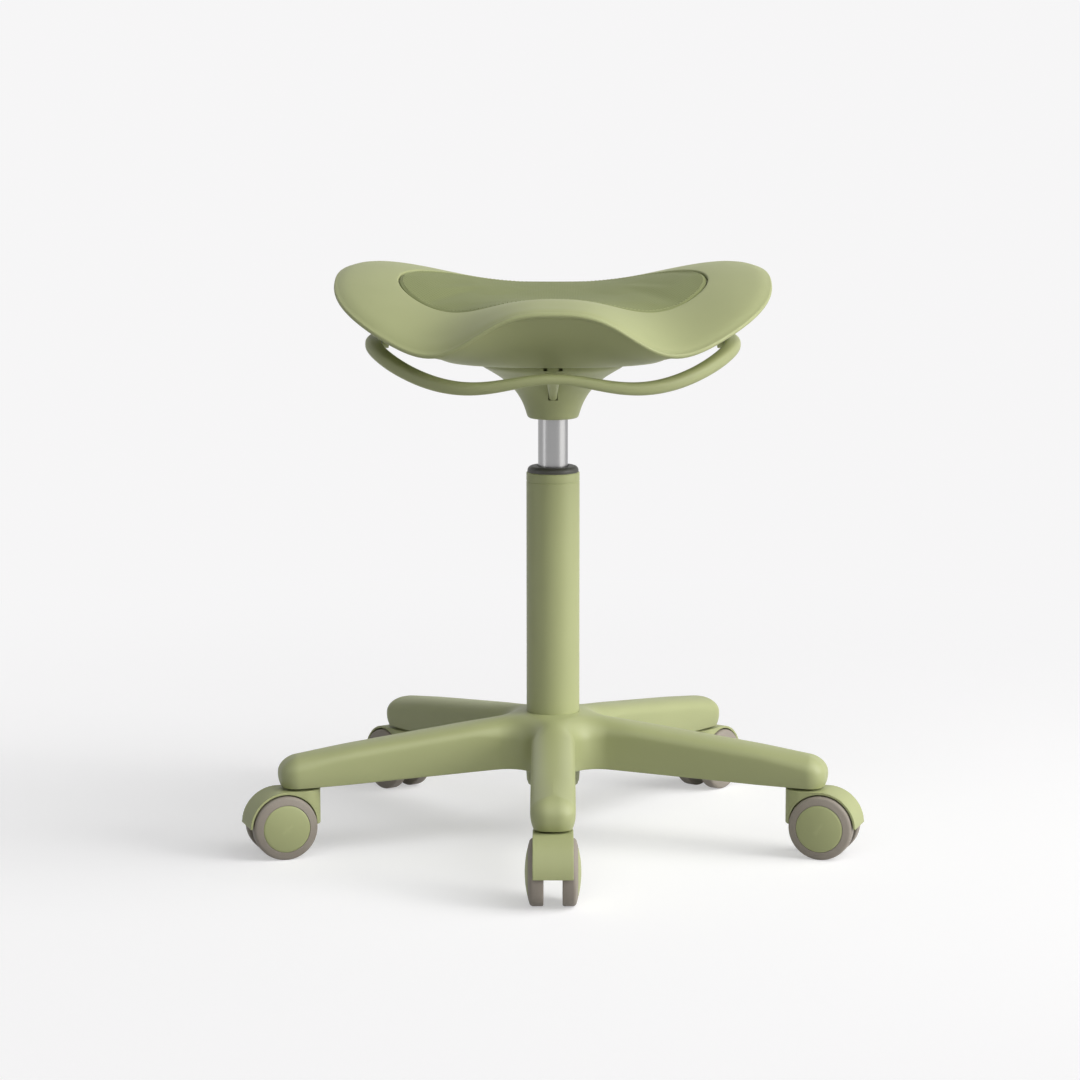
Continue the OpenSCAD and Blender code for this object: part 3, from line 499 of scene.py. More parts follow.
def shell_thickness(x, y):
    """Thickness of the seat shell: thin at the rim, thicker in the middle."""
    return SHELL_RIM + SHELL_EXTRA * np.maximum(0, 1 - seat_share(x, y) ** 2)


def under_low(angle, share):
    """Height of the under-shell's outer surface: level in the middle, then rising to the rim."""
    r = UNDER_SHARE * outline_radius(angle, HALF_WIDTH, HALF_DEPTH, OUTLINE_POWER)
    x, y = r * np.cos(angle), r * np.sin(angle)
    edge = seat_top(x, y) - shell_thickness(x, y) - UNDER_GAP - UNDER_WALL
    rise = (np.maximum(0, share - UNDER_LEVEL) / UNDER_RISE) ** UNDER_POWER
    return SEAT_FLOOR + (edge - SEAT_FLOOR) * rise


print("middle of the saddle at", round(float(seat_top(0.0, 0.0)), 1))
print("wing at", round(float(seat_top(190.0, 20.0)), 1))

# %% [markdown]
# The seat shell is built as rings that run from the middle of its underside out to the rim, round a
# lip with a full radius, in over the top, and down into the recess that holds the pad. Rings are
# close together where the shape turns quickly, and wide apart where it is calm.

# %% Seat shell
AROUND = 240
LIP, LIP_HALF = 2.2, 2.25
JOINT, JOINT_EDGE, JOINT_ROUND, RECESS = 0.5, 1.7, 1.2, 4.0
angles = np.linspace(0, 2 * np.pi, AROUND, endpoint=False)
cosine, sine = np.cos(angles), np.sin(angles)


def level_normal(rx, ry, power):
    """Outward normal of a rounded outline in plan, at each angle."""
    r = outline_radius(angles, rx, ry, power)
    x, y = r * cosine, r * sine
    nx = np.sign(x) * (np.abs(x) / rx) ** (power - 1) / rx
    ny = np.sign(y) * (np.abs(y) / ry) ** (power - 1) / ry
    size = np.hypot(nx, ny)
    return nx / size, ny / size


def ring(x, y, z):
    """A ring of points from arrays of x and y. z is an array too, or one height for all."""
    return np.stack([x, y, z + 0 * x], axis=1)


def underside_ring(share):
    """A ring on the underside of the seat shell, at a share of the way out to its outline."""
    r = share * outline_radius(angles, HALF_WIDTH, HALF_DEPTH, OUTLINE_POWER)
    x, y = r * cosine, r * sine
    return ring(x, y, seat_top(x, y) - shell_thickness(x, y))


def ring_body(name, rings):
    """A closed piece from rings of points, with the first and the last ring filled."""
    last = (len(rings) - 1) * AROUND
    caps = [tuple(range(AROUND))[::-1], tuple(range(last, last + AROUND))]
    thing = make_mesh(name, np.concatenate(rings), grid_faces(len(rings), AROUND) + caps, 50)
    mend(thing)
    return thing


rim_r = outline_radius(angles, HALF_WIDTH, HALF_DEPTH, OUTLINE_POWER)
out_x, out_y = level_normal(HALF_WIDTH, HALF_DEPTH, OUTLINE_POWER)
lip_x, lip_y = rim_r * cosine - LIP * out_x, rim_r * sine - LIP * out_y
lip_z = seat_top(lip_x, lip_y)

below = (0.03, 0.12, 0.22, 0.32, 0.42, 0.52, 0.62, 0.7, 0.78, 0.85, 0.9, 0.94, 0.965)
rings = [underside_ring(share) for share in below]
for turn in np.radians(np.linspace(-90, 90, 11)):
    out = LIP * math.cos(turn)
    z = lip_z - LIP_HALF + LIP_HALF * math.sin(turn)
    rings.append(ring(lip_x + out * out_x, lip_y + out * out_y, z))

groove = outline_radius(angles, PAD_HALF_WIDTH + JOINT, PAD_HALF_DEPTH + JOINT, 2)
edge_out = outline_radius(angles, PAD_HALF_WIDTH + JOINT_EDGE, PAD_HALF_DEPTH + JOINT_EDGE, 2)
edge_x, edge_y = edge_out * cosine, edge_out * sine
for share in (0.96, 0.9, 0.83, 0.75, 0.67, 0.58, 0.49, 0.4, 0.31, 0.22, 0.14, 0.07, 0.025):
    x, y = edge_x + (lip_x - edge_x) * share, edge_y + (lip_y - edge_y) * share
    rings.append(ring(x, y, seat_top(x, y)))
for turn in np.radians([90, 60, 30, 0]):
    r = edge_out + (groove - edge_out) * math.cos(turn)
    x, y = r * cosine, r * sine
    rings.append(ring(x, y, seat_top(x, y) - JOINT_ROUND * (1 - math.sin(turn))))
for share, drop in ((1, 2.6), *((share, RECESS) for share in (1, 0.9, 0.7, 0.45, 0.2, 0.04))):
    x, y = groove * share * cosine, groove * share * sine
    rings.append(ring(x, y, seat_top(x, y) - drop))
dress(ring_body("saddle_shell", rings), "seat", "sage_plastic", leaf_plastic, "seat_shell")

# %% [markdown]
# The soft inlay is a thin padded oval, glued to the floor of its recess. Its top sheet is a grid
# that maps a square onto the oval, so its cells stay nearly square all over, which is what cloth
# likes. The underside and the side wall hold still; the top may swell under a little air pressure.

# %% Pad before its simulation
PAD_CELLS = 72
PAD_PLAY, PAD_CROWN, PAD_THICK = 0.5, 0.5, 3.7
PAD_EDGE, PAD_EDGE_BAND, PAD_EDGE_FALL = 0.985, 0.015, 1.1


def square_to_disc(u, v):
    """A smooth map from the square to the unit disc."""
    return u * np.sqrt(1 - v * v / 2), v * np.sqrt(1 - u * u / 2)


steps = np.linspace(-1, 1, PAD_CELLS + 1)
grid_u, grid_v = np.meshgrid(steps, steps, indexing="ij")
disc_x, disc_y = square_to_disc(grid_u, grid_v)
pad_x, pad_y = disc_x * (PAD_HALF_WIDTH - PAD_PLAY), disc_y * (PAD_HALF_DEPTH - PAD_PLAY)
disc_r = np.minimum(1, np.hypot(disc_x, disc_y))
edge = np.clip((disc_r - PAD_EDGE) / PAD_EDGE_BAND, 0, 1)
pad_top = seat_top(pad_x, pad_y) + PAD_CROWN * (1 - disc_r**4) - PAD_EDGE_FALL * edge**2
pad_floor = seat_top(pad_x, pad_y) - PAD_THICK
side = PAD_CELLS + 1
count = side * side
border = [i * side for i in range(side)]
border += [(side - 1) * side + j for j in range(1, side)]
border += [i * side + side - 1 for i in range(side - 2, -1, -1)]
border += list(range(side - 2, 0, -1))
points = [(x, y, z) for sheet in (pad_top, pad_floor) for x, y, z in zip(pad_x.flat, pad_y.flat, sheet.flat)]
faces = []
for i in range(PAD_CELLS):
    for j in range(PAD_CELLS):
        a = i * side + j
        faces.append((a, a + side, a + side + 1, a + 1))
        faces.append((count + a, count + a + 1, count + a + side + 1, count + a + side))
for k, a in enumerate(border):
    b = border[(k + 1) % len(border)]
    faces.append((a, b, count + b, count + a))
soft_pad = make_mesh("soft_pad", points, faces, 60)
mend(soft_pad)
print("pad before simulation:", len(soft_pad.data.vertices), "points")

# %% [markdown]
# Cloth with pressure makes the crown of the pad: air pushes its top sheet up and the glued floor
# holds it. Gravity is off, so only the air shapes it. A cap on the movement keeps it nearly flush
# with the shell, as the photograph shows. The simulation is then baked into the mesh.

# %% Pad: cloth simulation
PRESSURE, PAD_CAP = 0.35, 1.1
CLOTH_MASS, STRETCH, BEND, FRAMES = 0.2, 12, 0.4, 20
GLUE_DEPTH = 2.5 * MM


def inflate(thing, held, pressure, cap):
    """Blows a closed mesh up as cloth, then keeps the result as a plain mesh."""
    before = np.array([v.co for v in thing.data.vertices])
    group = thing.vertex_groups.new(name="held")
    group.add(held, 1.0, "REPLACE")
    cloth = thing.modifiers.new("air", "CLOTH")
    cloth.settings.quality = 6
    cloth.settings.mass = CLOTH_MASS
    cloth.settings.tension_stiffness = STRETCH
    cloth.settings.compression_stiffness = STRETCH
    cloth.settings.bending_stiffness = BEND
    cloth.settings.use_pressure = True
    cloth.settings.uniform_pressure_force = pressure
    cloth.settings.vertex_group_mass = "held"
    cloth.settings.effector_weights.gravity = 0
    cloth.point_cache.frame_start = 1
    cloth.point_cache.frame_end = FRAMES
    for step in range(1, FRAMES + 1):
        bpy.context.scene.frame_set(step)
    shaped = thing.evaluated_get(bpy.context.evaluated_depsgraph_get())
    after = np.array([v.co for v in shaped.data.vertices])
    moved = after - before
    length = np.linalg.norm(moved, axis=1, keepdims=True)
    moved *= np.minimum(1, cap * MM / np.maximum(length, 1e-9))
    thing.modifiers.remove(cloth)
    thing.vertex_groups.remove(group)
    bpy.context.scene.frame_set(1)
    thing.data.vertices.foreach_set("co", (before + moved).astype(np.float32).ravel())
    thing.data.update()
    return float(length.max() * 1000)


def glued_points(thing):
    """Points of the pad that lie well below the saddle's surface, on its floor."""
    places = [(v.index, v.co) for v in thing.data.vertices]
    return [i for i, p in places if p.z < float(seat_top(p.x * 1000, p.y * 1000)) * MM - GLUE_DEPTH]


free = inflate(soft_pad, glued_points(soft_pad), PRESSURE, PAD_CAP)
print("largest free movement in mm:", round(free, 2))

# %% [markdown]
# The pad's cover is a dull knit. Two waves across each other make its ribs and its weave, a noise
# makes the fuzz of the yarn, and a little sheen lightens it where it is seen at a low angle.

# %% Pad: finish of the knitted cover
PAD_COLOUR = (0.246, 0.275, 0.114)
RIB_PITCH = 0.0015
# The wave texture has one wave in 2 pi / 20 of a unit.
RIB_SCALE = math.pi / 10 / RIB_PITCH


def knit_finish():
    """A knitted cover: upright ribs, a fine weave across them, and a soft sheen."""
    material, tree = new_material("pad_knit")
    place = node(tree, "ShaderNodeTexCoord").outputs["Object"]
    ribs, cross = [
        node(
            tree, "ShaderNodeTexWave", {"bands_direction": way},
            Vector=place, Scale=RIB_SCALE, Distortion=0.3, Detail=1.0,
        ).outputs["Fac"]
        for way in "XY"
    ]
    fuzz = node(tree, "ShaderNodeTexNoise", Vector=place, Scale=2600.0, Detail=2.0).outputs["Fac"]
    weave = calc(tree, "MULTIPLY_ADD", fuzz, 0.3, calc(tree, "MULTIPLY_ADD", cross, 0.92, ribs))
    shade = ramp(tree, weave, (0.1, tint(PAD_COLOUR, 0.985)), (1.0, tint(PAD_COLOUR, 1.015)))
    bump = node(tree, "ShaderNodeBump", Strength=0.3, Distance=0.0001, Height=weave)
    finish_with(
        tree, Base_Color=shade, Roughness=0.85, Specular_IOR_Level=0.25, Sheen_Weight=0.15,
        Sheen_Roughness=0.5, Normal=bump.outputs["Normal"],
    )
    return material


smoother = soft_pad.modifiers.new("smoother", "SUBSURF")
smoother.levels = smoother.render_levels = 1
dress(soft_pad, "seat", "sage_foam", knit_finish(), "seat_pad")

# %% [markdown]
# Geometry Nodes make what repeats. A tree is built in the script, its sizes are named inputs, and a
# modifier on a carrier mesh runs it. The result is then turned into a plain mesh, which is what the
# export needs, and the modifier is dropped.

# %% Helpers for Geometry Nodes


def new_tree(name, sizes):
    """A geometry tree with named number inputs. Returns the tree and the sockets it is given."""
    tree = bpy.data.node_groups.new(name, "GeometryNodeTree")
    tree.is_modifier = True
    tree.interface.new_socket("Geometry", in_out="INPUT", socket_type="NodeSocketGeometry")
    for label, value in sizes.items():
        kind = "NodeSocketInt" if isinstance(value, int) else "NodeSocketFloat"
        tree.interface.new_socket(label, in_out="INPUT", socket_type=kind).default_value = value
    tree.interface.new_socket("Geometry", in_out="OUTPUT", socket_type="NodeSocketGeometry")
    return tree, tree.nodes.new("NodeGroupInput").outputs


def scatter(tree, points, pattern, rotation):
    """Sets a copy of the pattern, a mesh object, on every point, turned by the rotation."""
    one = node(tree, "GeometryNodeObjectInfo", Object=pattern).outputs["Geometry"]
    many = node(tree, "GeometryNodeInstanceOnPoints", Points=points, Instance=one, Rotation=rotation)
    return many.outputs[0]


def end_tree(tree, geometry, material):
    """Ends a tree the way the export needs it: copies made real and given their finish."""
    real = node(tree, "GeometryNodeRealizeInstances", Geometry=geometry)
    coat = node(tree, "GeometryNodeSetMaterial", Geometry=real.outputs[0], Material=material)
    tree.links.new(coat.outputs[0], tree.nodes.new("NodeGroupOutput").inputs[0])


def grow(name, carrier, tree, sizes):
    """Runs a tree on a copy of the carrier and returns the result as a plain mesh object."""
    seed = carrier.copy()
    seed.data = carrier.data.copy()
    seed.parent = None
    bpy.context.scene.collection.objects.link(seed)
    maker = seed.modifiers.new("maker", "NODES")
    maker.node_group = tree
    for item in tree.interface.items_tree:
        if item.item_type == "SOCKET" and item.in_out == "INPUT" and item.name in sizes:
            maker[item.identifier] = sizes[item.name]
    shaped = seed.evaluated_get(bpy.context.evaluated_depsgraph_get())
    mesh = bpy.data.meshes.new_from_object(shaped)
    bpy.data.objects.remove(seed)
    mesh.name = name
    return add_object(name, mesh)


def store(tree, geometry, label, kind, value):
    """Keeps a value under a label on every point, to be read further on."""
    settings = {"data_type": kind, "domain": "POINT"}
    kept = node(tree, "GeometryNodeStoreNamedAttribute", settings, Geometry=geometry, Name=label, Value=value)
    return kept.outputs[0]


def recall(tree, label, kind):
    """Reads the value that was kept under a label."""
    return node(tree, "GeometryNodeInputNamedAttribute", {"data_type": kind}, Name=label).outputs["Attribute"]


def drop_rays(tree, target, source):
    """Rays that fall from the source points onto the target. Returns what they hit, as sockets."""
    ray = node(
        tree, "GeometryNodeRaycast", {"data_type": "FLOAT"},
        Target_Geometry=target, Source_Position=source, Ray_Direction=(0, 0, -1), Ray_Length=2.0,
    )
    return ray.outputs


# %% [markdown]
# Seen close, the pad's cover is a knitted mesh: rows of tiny eyelets with a thread rim round each.
# The tree lays a level grid over the pad, moves every other row aside by half a step, keeps what
# lies inside the oval, drops every point onto the surface with a ray, and sets a leaning eyelet there.
# Its sizes are in metres, because it works on the finished pad.

# %% Eyelets of the pad
COVER_HALF_WIDTH, COVER_HALF_DEPTH = 0.1395, 0.096
EYELETS = {"Pitch": 0.003, "Half Width": COVER_HALF_WIDTH, "Half Depth": COVER_HALF_DEPTH}


def eyelet_mesh():
    """One eyelet: a low thread rim round a flat hole, whose dark is painted shade. Attribute deep is 1 in the
    hole.
    """
    rim = [(0.9, -0.05, 0), (0.72, 0.04, 0), (0.48, 0.01, 1)]
    points = [(*polar(r, k * math.pi / 3), z) for r, z, _ in rim for k in range(6)]
    deep = [d for _, _, d in rim for _ in range(6)]
    caps = [tuple(range(12, 18)), tuple(range(5, -1, -1))]
    thing = make_mesh("eyelet", points, grid_faces(3, 6) + caps, 80)
    mark = thing.data.attributes.new("deep", "FLOAT", "POINT")
    mark.data.foreach_set("value", deep)
    mend(thing)
    thing.hide_render = True
    return thing


def eyelet_finish():
    """Thread like the cover's, with painted shade that darkens the hole, a painted highlight that lightens
    the rim a touch, and a fuzz of its own.
    """
    material, tree = new_material("eyelet_thread")
    deep = node(tree, "ShaderNodeAttribute", {"attribute_name": "deep"}).outputs["Fac"]
    # Painted shade and highlight: the flat hole is coloured darker and the rim a touch lighter, as light
    # would fall on a real perforation.
    shade = ramp(tree, deep, (0.25, tint(PAD_COLOUR, 1.03)), (0.95, tint(PAD_COLOUR, 0.8)))
    place = node(tree, "ShaderNodeTexCoord").outputs["Object"]
    fuzz = node(tree, "ShaderNodeTexNoise", Vector=place, Scale=3000.0).outputs["Fac"]
    bump = node(tree, "ShaderNodeBump", Strength=0.4, Distance=0.0001, Height=fuzz)
    finish_with(
        tree, Base_Color=shade, Roughness=0.85, Specular_IOR_Level=0.2, Normal=bump.outputs["Normal"]
    )
    return material


tree, given = new_tree("eyelet_grid", EYELETS)
wide = calc(tree, "MULTIPLY", given["Half Width"], 2.0)
deep = calc(tree, "MULTIPLY", given["Half Depth"], 2.0)
columns = calc(tree, "ADD", calc(tree, "DIVIDE", wide, given["Pitch"]), 1.25)
lines = calc(tree, "ADD", calc(tree, "DIVIDE", deep, given["Pitch"]), 1.25)
sheet = node(tree, "GeometryNodeMeshGrid", i0=wide, i1=deep, i2=columns, i3=lines)
position = node(tree, "GeometryNodeInputPosition").outputs[0]
apart = node(tree, "ShaderNodeSeparateXYZ", i0=position).outputs
line_at = calc(tree, "DIVIDE", apart["Y"], given["Pitch"])
odd = calc(tree, "PINGPONG", calc(tree, "MULTIPLY", line_at, 0.5), 0.5)
aside = calc(tree, "MULTIPLY_ADD", odd, given["Pitch"], apart["X"])
share_x = calc(tree, "DIVIDE", aside, given["Half Width"])
share_y = calc(tree, "DIVIDE", apart["Y"], given["Half Depth"])
together = node(tree, "ShaderNodeCombineXYZ", X=share_x, Y=share_y).outputs[0]
spread = node(tree, "ShaderNodeVectorMath", {"operation": "LENGTH"}, i0=together).outputs["Value"]
greater = {"data_type": "FLOAT", "operation": "GREATER_THAN"}
outside = node(tree, "FunctionNodeCompare", greater, i0=spread, i1=1.0).outputs[0]
kept = node(
    tree, "GeometryNodeDeleteGeometry", {"domain": "POINT"}, Geometry=sheet.outputs["Mesh"], Selection=outside
)
above = node(tree, "ShaderNodeCombineXYZ", X=aside, Y=apart["Y"], Z=1.0).outputs[0]
hit = drop_rays(tree, given["Geometry"], above)
leaning = store(tree, kept.outputs[0], "lean", "FLOAT_VECTOR", hit["Hit Normal"])
landed = node(tree, "GeometryNodeSetPosition", Geometry=leaning, Position=hit["Hit Position"])
lean = recall(tree, "lean", "FLOAT_VECTOR")
turned = node(tree, "FunctionNodeAlignRotationToVector", {"axis": "Z"}, Vector=lean)
eyelet = eyelet_mesh()
end_tree(tree, scatter(tree, landed.outputs[0], eyelet, turned.outputs[0]), eyelet_finish())
eyelets = grow("pad_eyelets", soft_pad, tree, EYELETS)
bpy.data.objects.remove(eyelet)
dress(eyelets, "seat", "sage_foam", None)

# %% [markdown]
# A row of short stitches holds the cover down just inside its edge. They follow the oval, so a curve
# carries them: it is cut into equal steps, dropped onto the pad, and each step gets one stitch.

# %% Stitches round the pad
STITCHES = {"Half Width": COVER_HALF_WIDTH, "Half Depth": COVER_HALF_DEPTH, "Count": 190}


def stitch_mesh():
    """One stitch: a short thread, thick in its middle, that dips at both ends."""
    rings = [(-1.25, 0.12, -0.1), (-0.8, 0.34, 0.14), (0, 0.42, 0.26), (0.8, 0.34, 0.14), (1.25, 0.12, -0.1)]
    turns = [k * math.pi / 3 for k in range(6)]
    points = [(x, r * math.cos(turn), z + r * math.sin(turn)) for x, r, z in rings for turn in turns]
    faces = grid_faces(5, 6) + [tuple(range(6))[::-1], tuple(range(24, 30))]
    thing = make_mesh("stitch", points, faces, 80)
    mend(thing)
    thing.hide_render = True
    return thing


thread = dull_finish("stitch_thread", (0.36, 0.385, 0.2), 0.7, 2600, 0.00008)
tree, given = new_tree("stitch_row", STITCHES)
circle = node(tree, "GeometryNodeCurvePrimitiveCircle", Resolution=256, Radius=1.0).outputs["Curve"]
shape = node(tree, "ShaderNodeCombineXYZ", X=given["Half Width"], Y=given["Half Depth"], Z=1.0).outputs[0]
oval = node(tree, "GeometryNodeTransform", Geometry=circle, Scale=shape)
cut = node(tree, "GeometryNodeResampleCurve", Curve=oval.outputs[0], Count=given["Count"])
dots = node(tree, "GeometryNodeCurveToPoints", {"mode": "EVALUATED"}, Curve=cut.outputs[0])
position = node(tree, "GeometryNodeInputPosition").outputs[0]
above = node(tree, "ShaderNodeVectorMath", {"operation": "ADD"}, i0=position, i1=(0, 0, 1)).outputs[0]
hit = drop_rays(tree, given["Geometry"], above)
landed = node(tree, "GeometryNodeSetPosition", Geometry=dots.outputs["Points"], Position=hit["Hit Position"])
aim = node(tree, "FunctionNodeAlignRotationToVector", {"axis": "X"}, Vector=dots.outputs["Tangent"])
stitch = stitch_mesh()
end_tree(tree, scatter(tree, landed.outputs[0], stitch, aim.outputs[0]), thread)
stitches = grow("pad_stitches", soft_pad, tree, STITCHES)
bpy.data.objects.remove(stitch)
dress(stitches, "seat", "sage_foam", None)

# %% [markdown]
# Under the saddle hangs a second, thinner shell. From the front it is the dark bow between the two
# thigh cut-outs. It is built from the same rule, with a rounded rim and two lugs for the lever's pivots.

# %% Under-shell


def under_ring(share, up):
    """A ring of the under-shell, at a share of the way out and so far above its outer surface."""
    r = share * outline_radius(angles, HALF_WIDTH, HALF_DEPTH, OUTLINE_POWER)
    return ring(r * cosine, r * sine, under_low(angles, share) + up)


shares = [0.04, 0.15, 0.3, 0.42, 0.48, 0.5, 0.52, 0.55, 0.59, 0.64, 0.7, 0.76, 0.82, 0.87, 0.91, 0.94, 0.953]
rings = [under_ring(share, 0) for share in shares]
rings += [under_ring(0.9585, 0.35), under_ring(UNDER_SHARE, 1.1), under_ring(0.9585, 1.85)]
rings += [under_ring(share, UNDER_WALL) for share in shares[::-1]]
under = ring_body("under_dish", rings)
dress(under, "seat", "sage_plastic", leaf_plastic, "under_shell")

# %% Lugs for the lever's pivots
LUG_X, LUG_T, LUG_R = 156.3, 6.0, 5.0
LUG_FLARE, LUG_NECK, LUG_EDGE = 4, 6, 0.8


def slab(name, outline, thick):
    """A plate: an outline in (y, z), given a thickness along X, both faces as one polygon each."""
    n = len(outline)
    points = [(x, y, z) for x in (-thick / 2, thick / 2) for y, z in outline]
    faces = [tuple(range(n))[::-1], tuple(range(n, 2 * n))]
    faces += [(k, (k + 1) % n, n + (k + 1) % n, n + k) for k in range(n)]
    thing = make_mesh(name, points, faces, 35)
    mend(thing)
    return thing


def settle(thing):
    """Applies every modifier of a piece, so that it is a plain mesh."""
    shaped = thing.evaluated_get(bpy.context.evaluated_depsgraph_get())
    mesh = bpy.data.meshes.new_from_object(shaped)
    thing.modifiers.clear()
    old = thing.data
    thing.data = mesh
    bpy.data.meshes.remove(old)


def soften(thing, width):
    """Rounds a piece's sharp edges with a bevel, and keeps the result."""
    bevel = thing.modifiers.new("soft_edges", "BEVEL")
    bevel.width = width * MM
    bevel.segments = 3
    bevel.limit_method = "ANGLE"
    bevel.angle_limit = math.radians(30)
    bevel.harden_normals = False
    settle(thing)


def merge(name, things):
    """Joins several mesh objects into one, with points left where they are."""
    work = bmesh.new()
    for thing in things:
        copy = thing.data.copy()
        copy.transform(thing.matrix_world)
        work.from_mesh(copy)
        bpy.data.meshes.remove(copy)
    mesh = bpy.data.meshes.new(name)
    work.to_mesh(mesh)
    work.free()
    for thing in things:
        bpy.data.objects.remove(thing)
    mesh.shade_smooth()
    mesh.set_sharp_from_angle(angle=math.radians(35))
    return add_object(name, mesh)


lugs = []
for way in (-1, 1):
    top = float(under_low(0.0, LUG_X / HALF_WIDTH)) + 1
    turns = [polar(LUG_R, a) for a in np.linspace(math.pi, 2 * math.pi, 17)]
    outline = [(-LUG_R - LUG_FLARE, top), (-LUG_R, top - LUG_NECK)]
    outline += [(y, PIVOT_HEIGHT + z) for y, z in turns]
    outline += [(LUG_R, top - LUG_NECK), (LUG_R + LUG_FLARE, top)]
    lug = slab("lug", outline, LUG_T)
    lug.data.transform(Matrix.Translation((way * LUG_X * MM, 0, 0)))
    soften(lug, LUG_EDGE)
    lugs.append(lug)
dress(merge("pivot_lugs", lugs), "seat", "sage_plastic", leaf_plastic)

# %% [markdown]
# The height lever is a loop of tube that follows the seat's outline and bows up in front. That is a
# path with a rule, which Geometry Nodes draw well: a circle of points is bent to the rule, a rounded
# section is swept along it, and the section is stretched to the tube's height on the way.

# %% Loop of the height lever
LOOP = {
    "Half Width": 167.5, "Front": 130.0, "Back": 142.0, "Fall": 43.0, "Fall Power": 2.25, "Hump": 23.0,
    "Hump Half": 69.0, "Back Rise": 3.0, "Tube Width": 15.0, "Front Height": 9.4, "Side Height": 13.0,
    "Pivot Height": PIVOT_HEIGHT, "Power": 2.35, "Section Power": 2.6, "Steps": 288, "Sides": 28,
}


def rounded_ring(tree, angle, rx, ry, power):
    """Sockets for x and y of a superellipse at an angle."""
    c, s = calc(tree, "COSINE", angle), calc(tree, "SINE", angle)
    a = calc(tree, "POWER", calc(tree, "ABSOLUTE", calc(tree, "DIVIDE", c, rx)), power)
    b = calc(tree, "POWER", calc(tree, "ABSOLUTE", calc(tree, "DIVIDE", s, ry)), power)
    r = calc(tree, "POWER", calc(tree, "ADD", a, b), calc(tree, "DIVIDE", -1.0, power))
    return calc(tree, "MULTIPLY", r, c), calc(tree, "MULTIPLY", r, s)


tree, given = new_tree("loop_lever", LOOP)
index = node(tree, "GeometryNodeInputIndex").outputs[0]
turn = calc(tree, "DIVIDE", calc(tree, "MULTIPLY", index, 2 * math.pi), given["Steps"])
behind = calc(tree, "GREATER_THAN", calc(tree, "SINE", turn), 0.0)
deeper = calc(tree, "SUBTRACT", given["Back"], given["Front"])
depth = calc(tree, "ADD", given["Front"], calc(tree, "MULTIPLY", behind, deeper))
x, y = rounded_ring(tree, turn, given["Half Width"], depth, given["Power"])
before = calc(tree, "MAXIMUM", calc(tree, "DIVIDE", calc(tree, "MULTIPLY", y, -1.0), given["Front"]), 0.0)
after = calc(tree, "MAXIMUM", calc(tree, "DIVIDE", y, given["Back"]), 0.0)
near = calc(tree, "POWER", calc(tree, "DIVIDE", x, given["Hump Half"]), 2.0)
bow = calc(tree, "EXPONENT", calc(tree, "MULTIPLY", near, -1.0))
bow = calc(tree, "MULTIPLY", bow, calc(tree, "SUBTRACT", 1.0, behind))
z = calc(tree, "ADD", given["Pivot Height"], calc(tree, "MULTIPLY", given["Hump"], bow))
falling = calc(tree, "MULTIPLY", given["Fall"], calc(tree, "POWER", before, given["Fall Power"]))
rising = calc(tree, "MULTIPLY", given["Back Rise"], calc(tree, "POWER", after, given["Fall Power"]))
z = calc(tree, "ADD", calc(tree, "SUBTRACT", z, falling), rising)
less = calc(tree, "MULTIPLY", calc(tree, "SUBTRACT", given["Side Height"], given["Front Height"]), bow)
tall = calc(tree, "SUBTRACT", given["Side Height"], less)
path = node(tree, "ShaderNodeCombineXYZ", X=x, Y=y, Z=z).outputs[0]
circle = node(tree, "GeometryNodeCurvePrimitiveCircle", Resolution=given["Steps"]).outputs["Curve"]
bent = node(tree, "GeometryNodeSetPosition", Geometry=circle, Position=path)
line = store(tree, bent.outputs[0], "line_z", "FLOAT", z)
line = store(tree, line, "tall", "FLOAT", tall)
upright = node(tree, "GeometryNodeSetCurveNormal", {"mode": "Z_UP"}, Curve=line)
section_turn = calc(tree, "DIVIDE", calc(tree, "MULTIPLY", index, 2 * math.pi), given["Sides"])
half = calc(tree, "MULTIPLY", given["Tube Width"], 0.5)
x, y = rounded_ring(tree, section_turn, half, half, given["Section Power"])
section_place = node(tree, "ShaderNodeCombineXYZ", X=x, Y=y).outputs[0]
section = node(tree, "GeometryNodeCurvePrimitiveCircle", Resolution=given["Sides"]).outputs["Curve"]
section = node(tree, "GeometryNodeSetPosition", Geometry=section, Position=section_place).outputs[0]
tube = node(tree, "GeometryNodeCurveToMesh", Curve=upright.outputs[0], Profile_Curve=section)
position = node(tree, "GeometryNodeInputPosition").outputs[0]
apart = node(tree, "ShaderNodeSeparateXYZ", i0=position).outputs
line_z, tall_at = recall(tree, "line_z", "FLOAT"), recall(tree, "tall", "FLOAT")
away = calc(tree, "MULTIPLY", calc(tree, "SUBTRACT", apart["Z"], line_z), tall_at)
height = calc(tree, "ADD", line_z, calc(tree, "DIVIDE", away, given["Tube Width"]))
fitted = node(tree, "ShaderNodeCombineXYZ", X=apart["X"], Y=apart["Y"], Z=height).outputs[0]
squeezed = node(tree, "GeometryNodeSetPosition", Geometry=tube.outputs[0], Position=fitted)
scaled = node(tree, "GeometryNodeTransform", Geometry=squeezed.outputs[0], Scale=(MM, MM, MM))
end_tree(tree, scaled.outputs[0], leaf_plastic)
loop = grow("lever_loop", under, tree, LOOP)
mend(loop)
loop.data.shade_smooth()
dress(loop, "lever", "sage_plastic", None, "ring_lever")
print("loop spans", [round(v * 1000, 1) for v in loop.dimensions])

# %% [markdown]
# From the front of the loop a short spoke runs down into the housing. It is a channel: two raised
# rails with a hollow between them, narrowing to a rounded tip. A few cross-sections, joined into a
# skin and smoothed by subdivision, give it its moulded look.

# %% Spoke of the lever
SPOKE_TIP_Z = 423.0
RAIL_SHARE, RAIL_FOOT = 0.42, 1.35


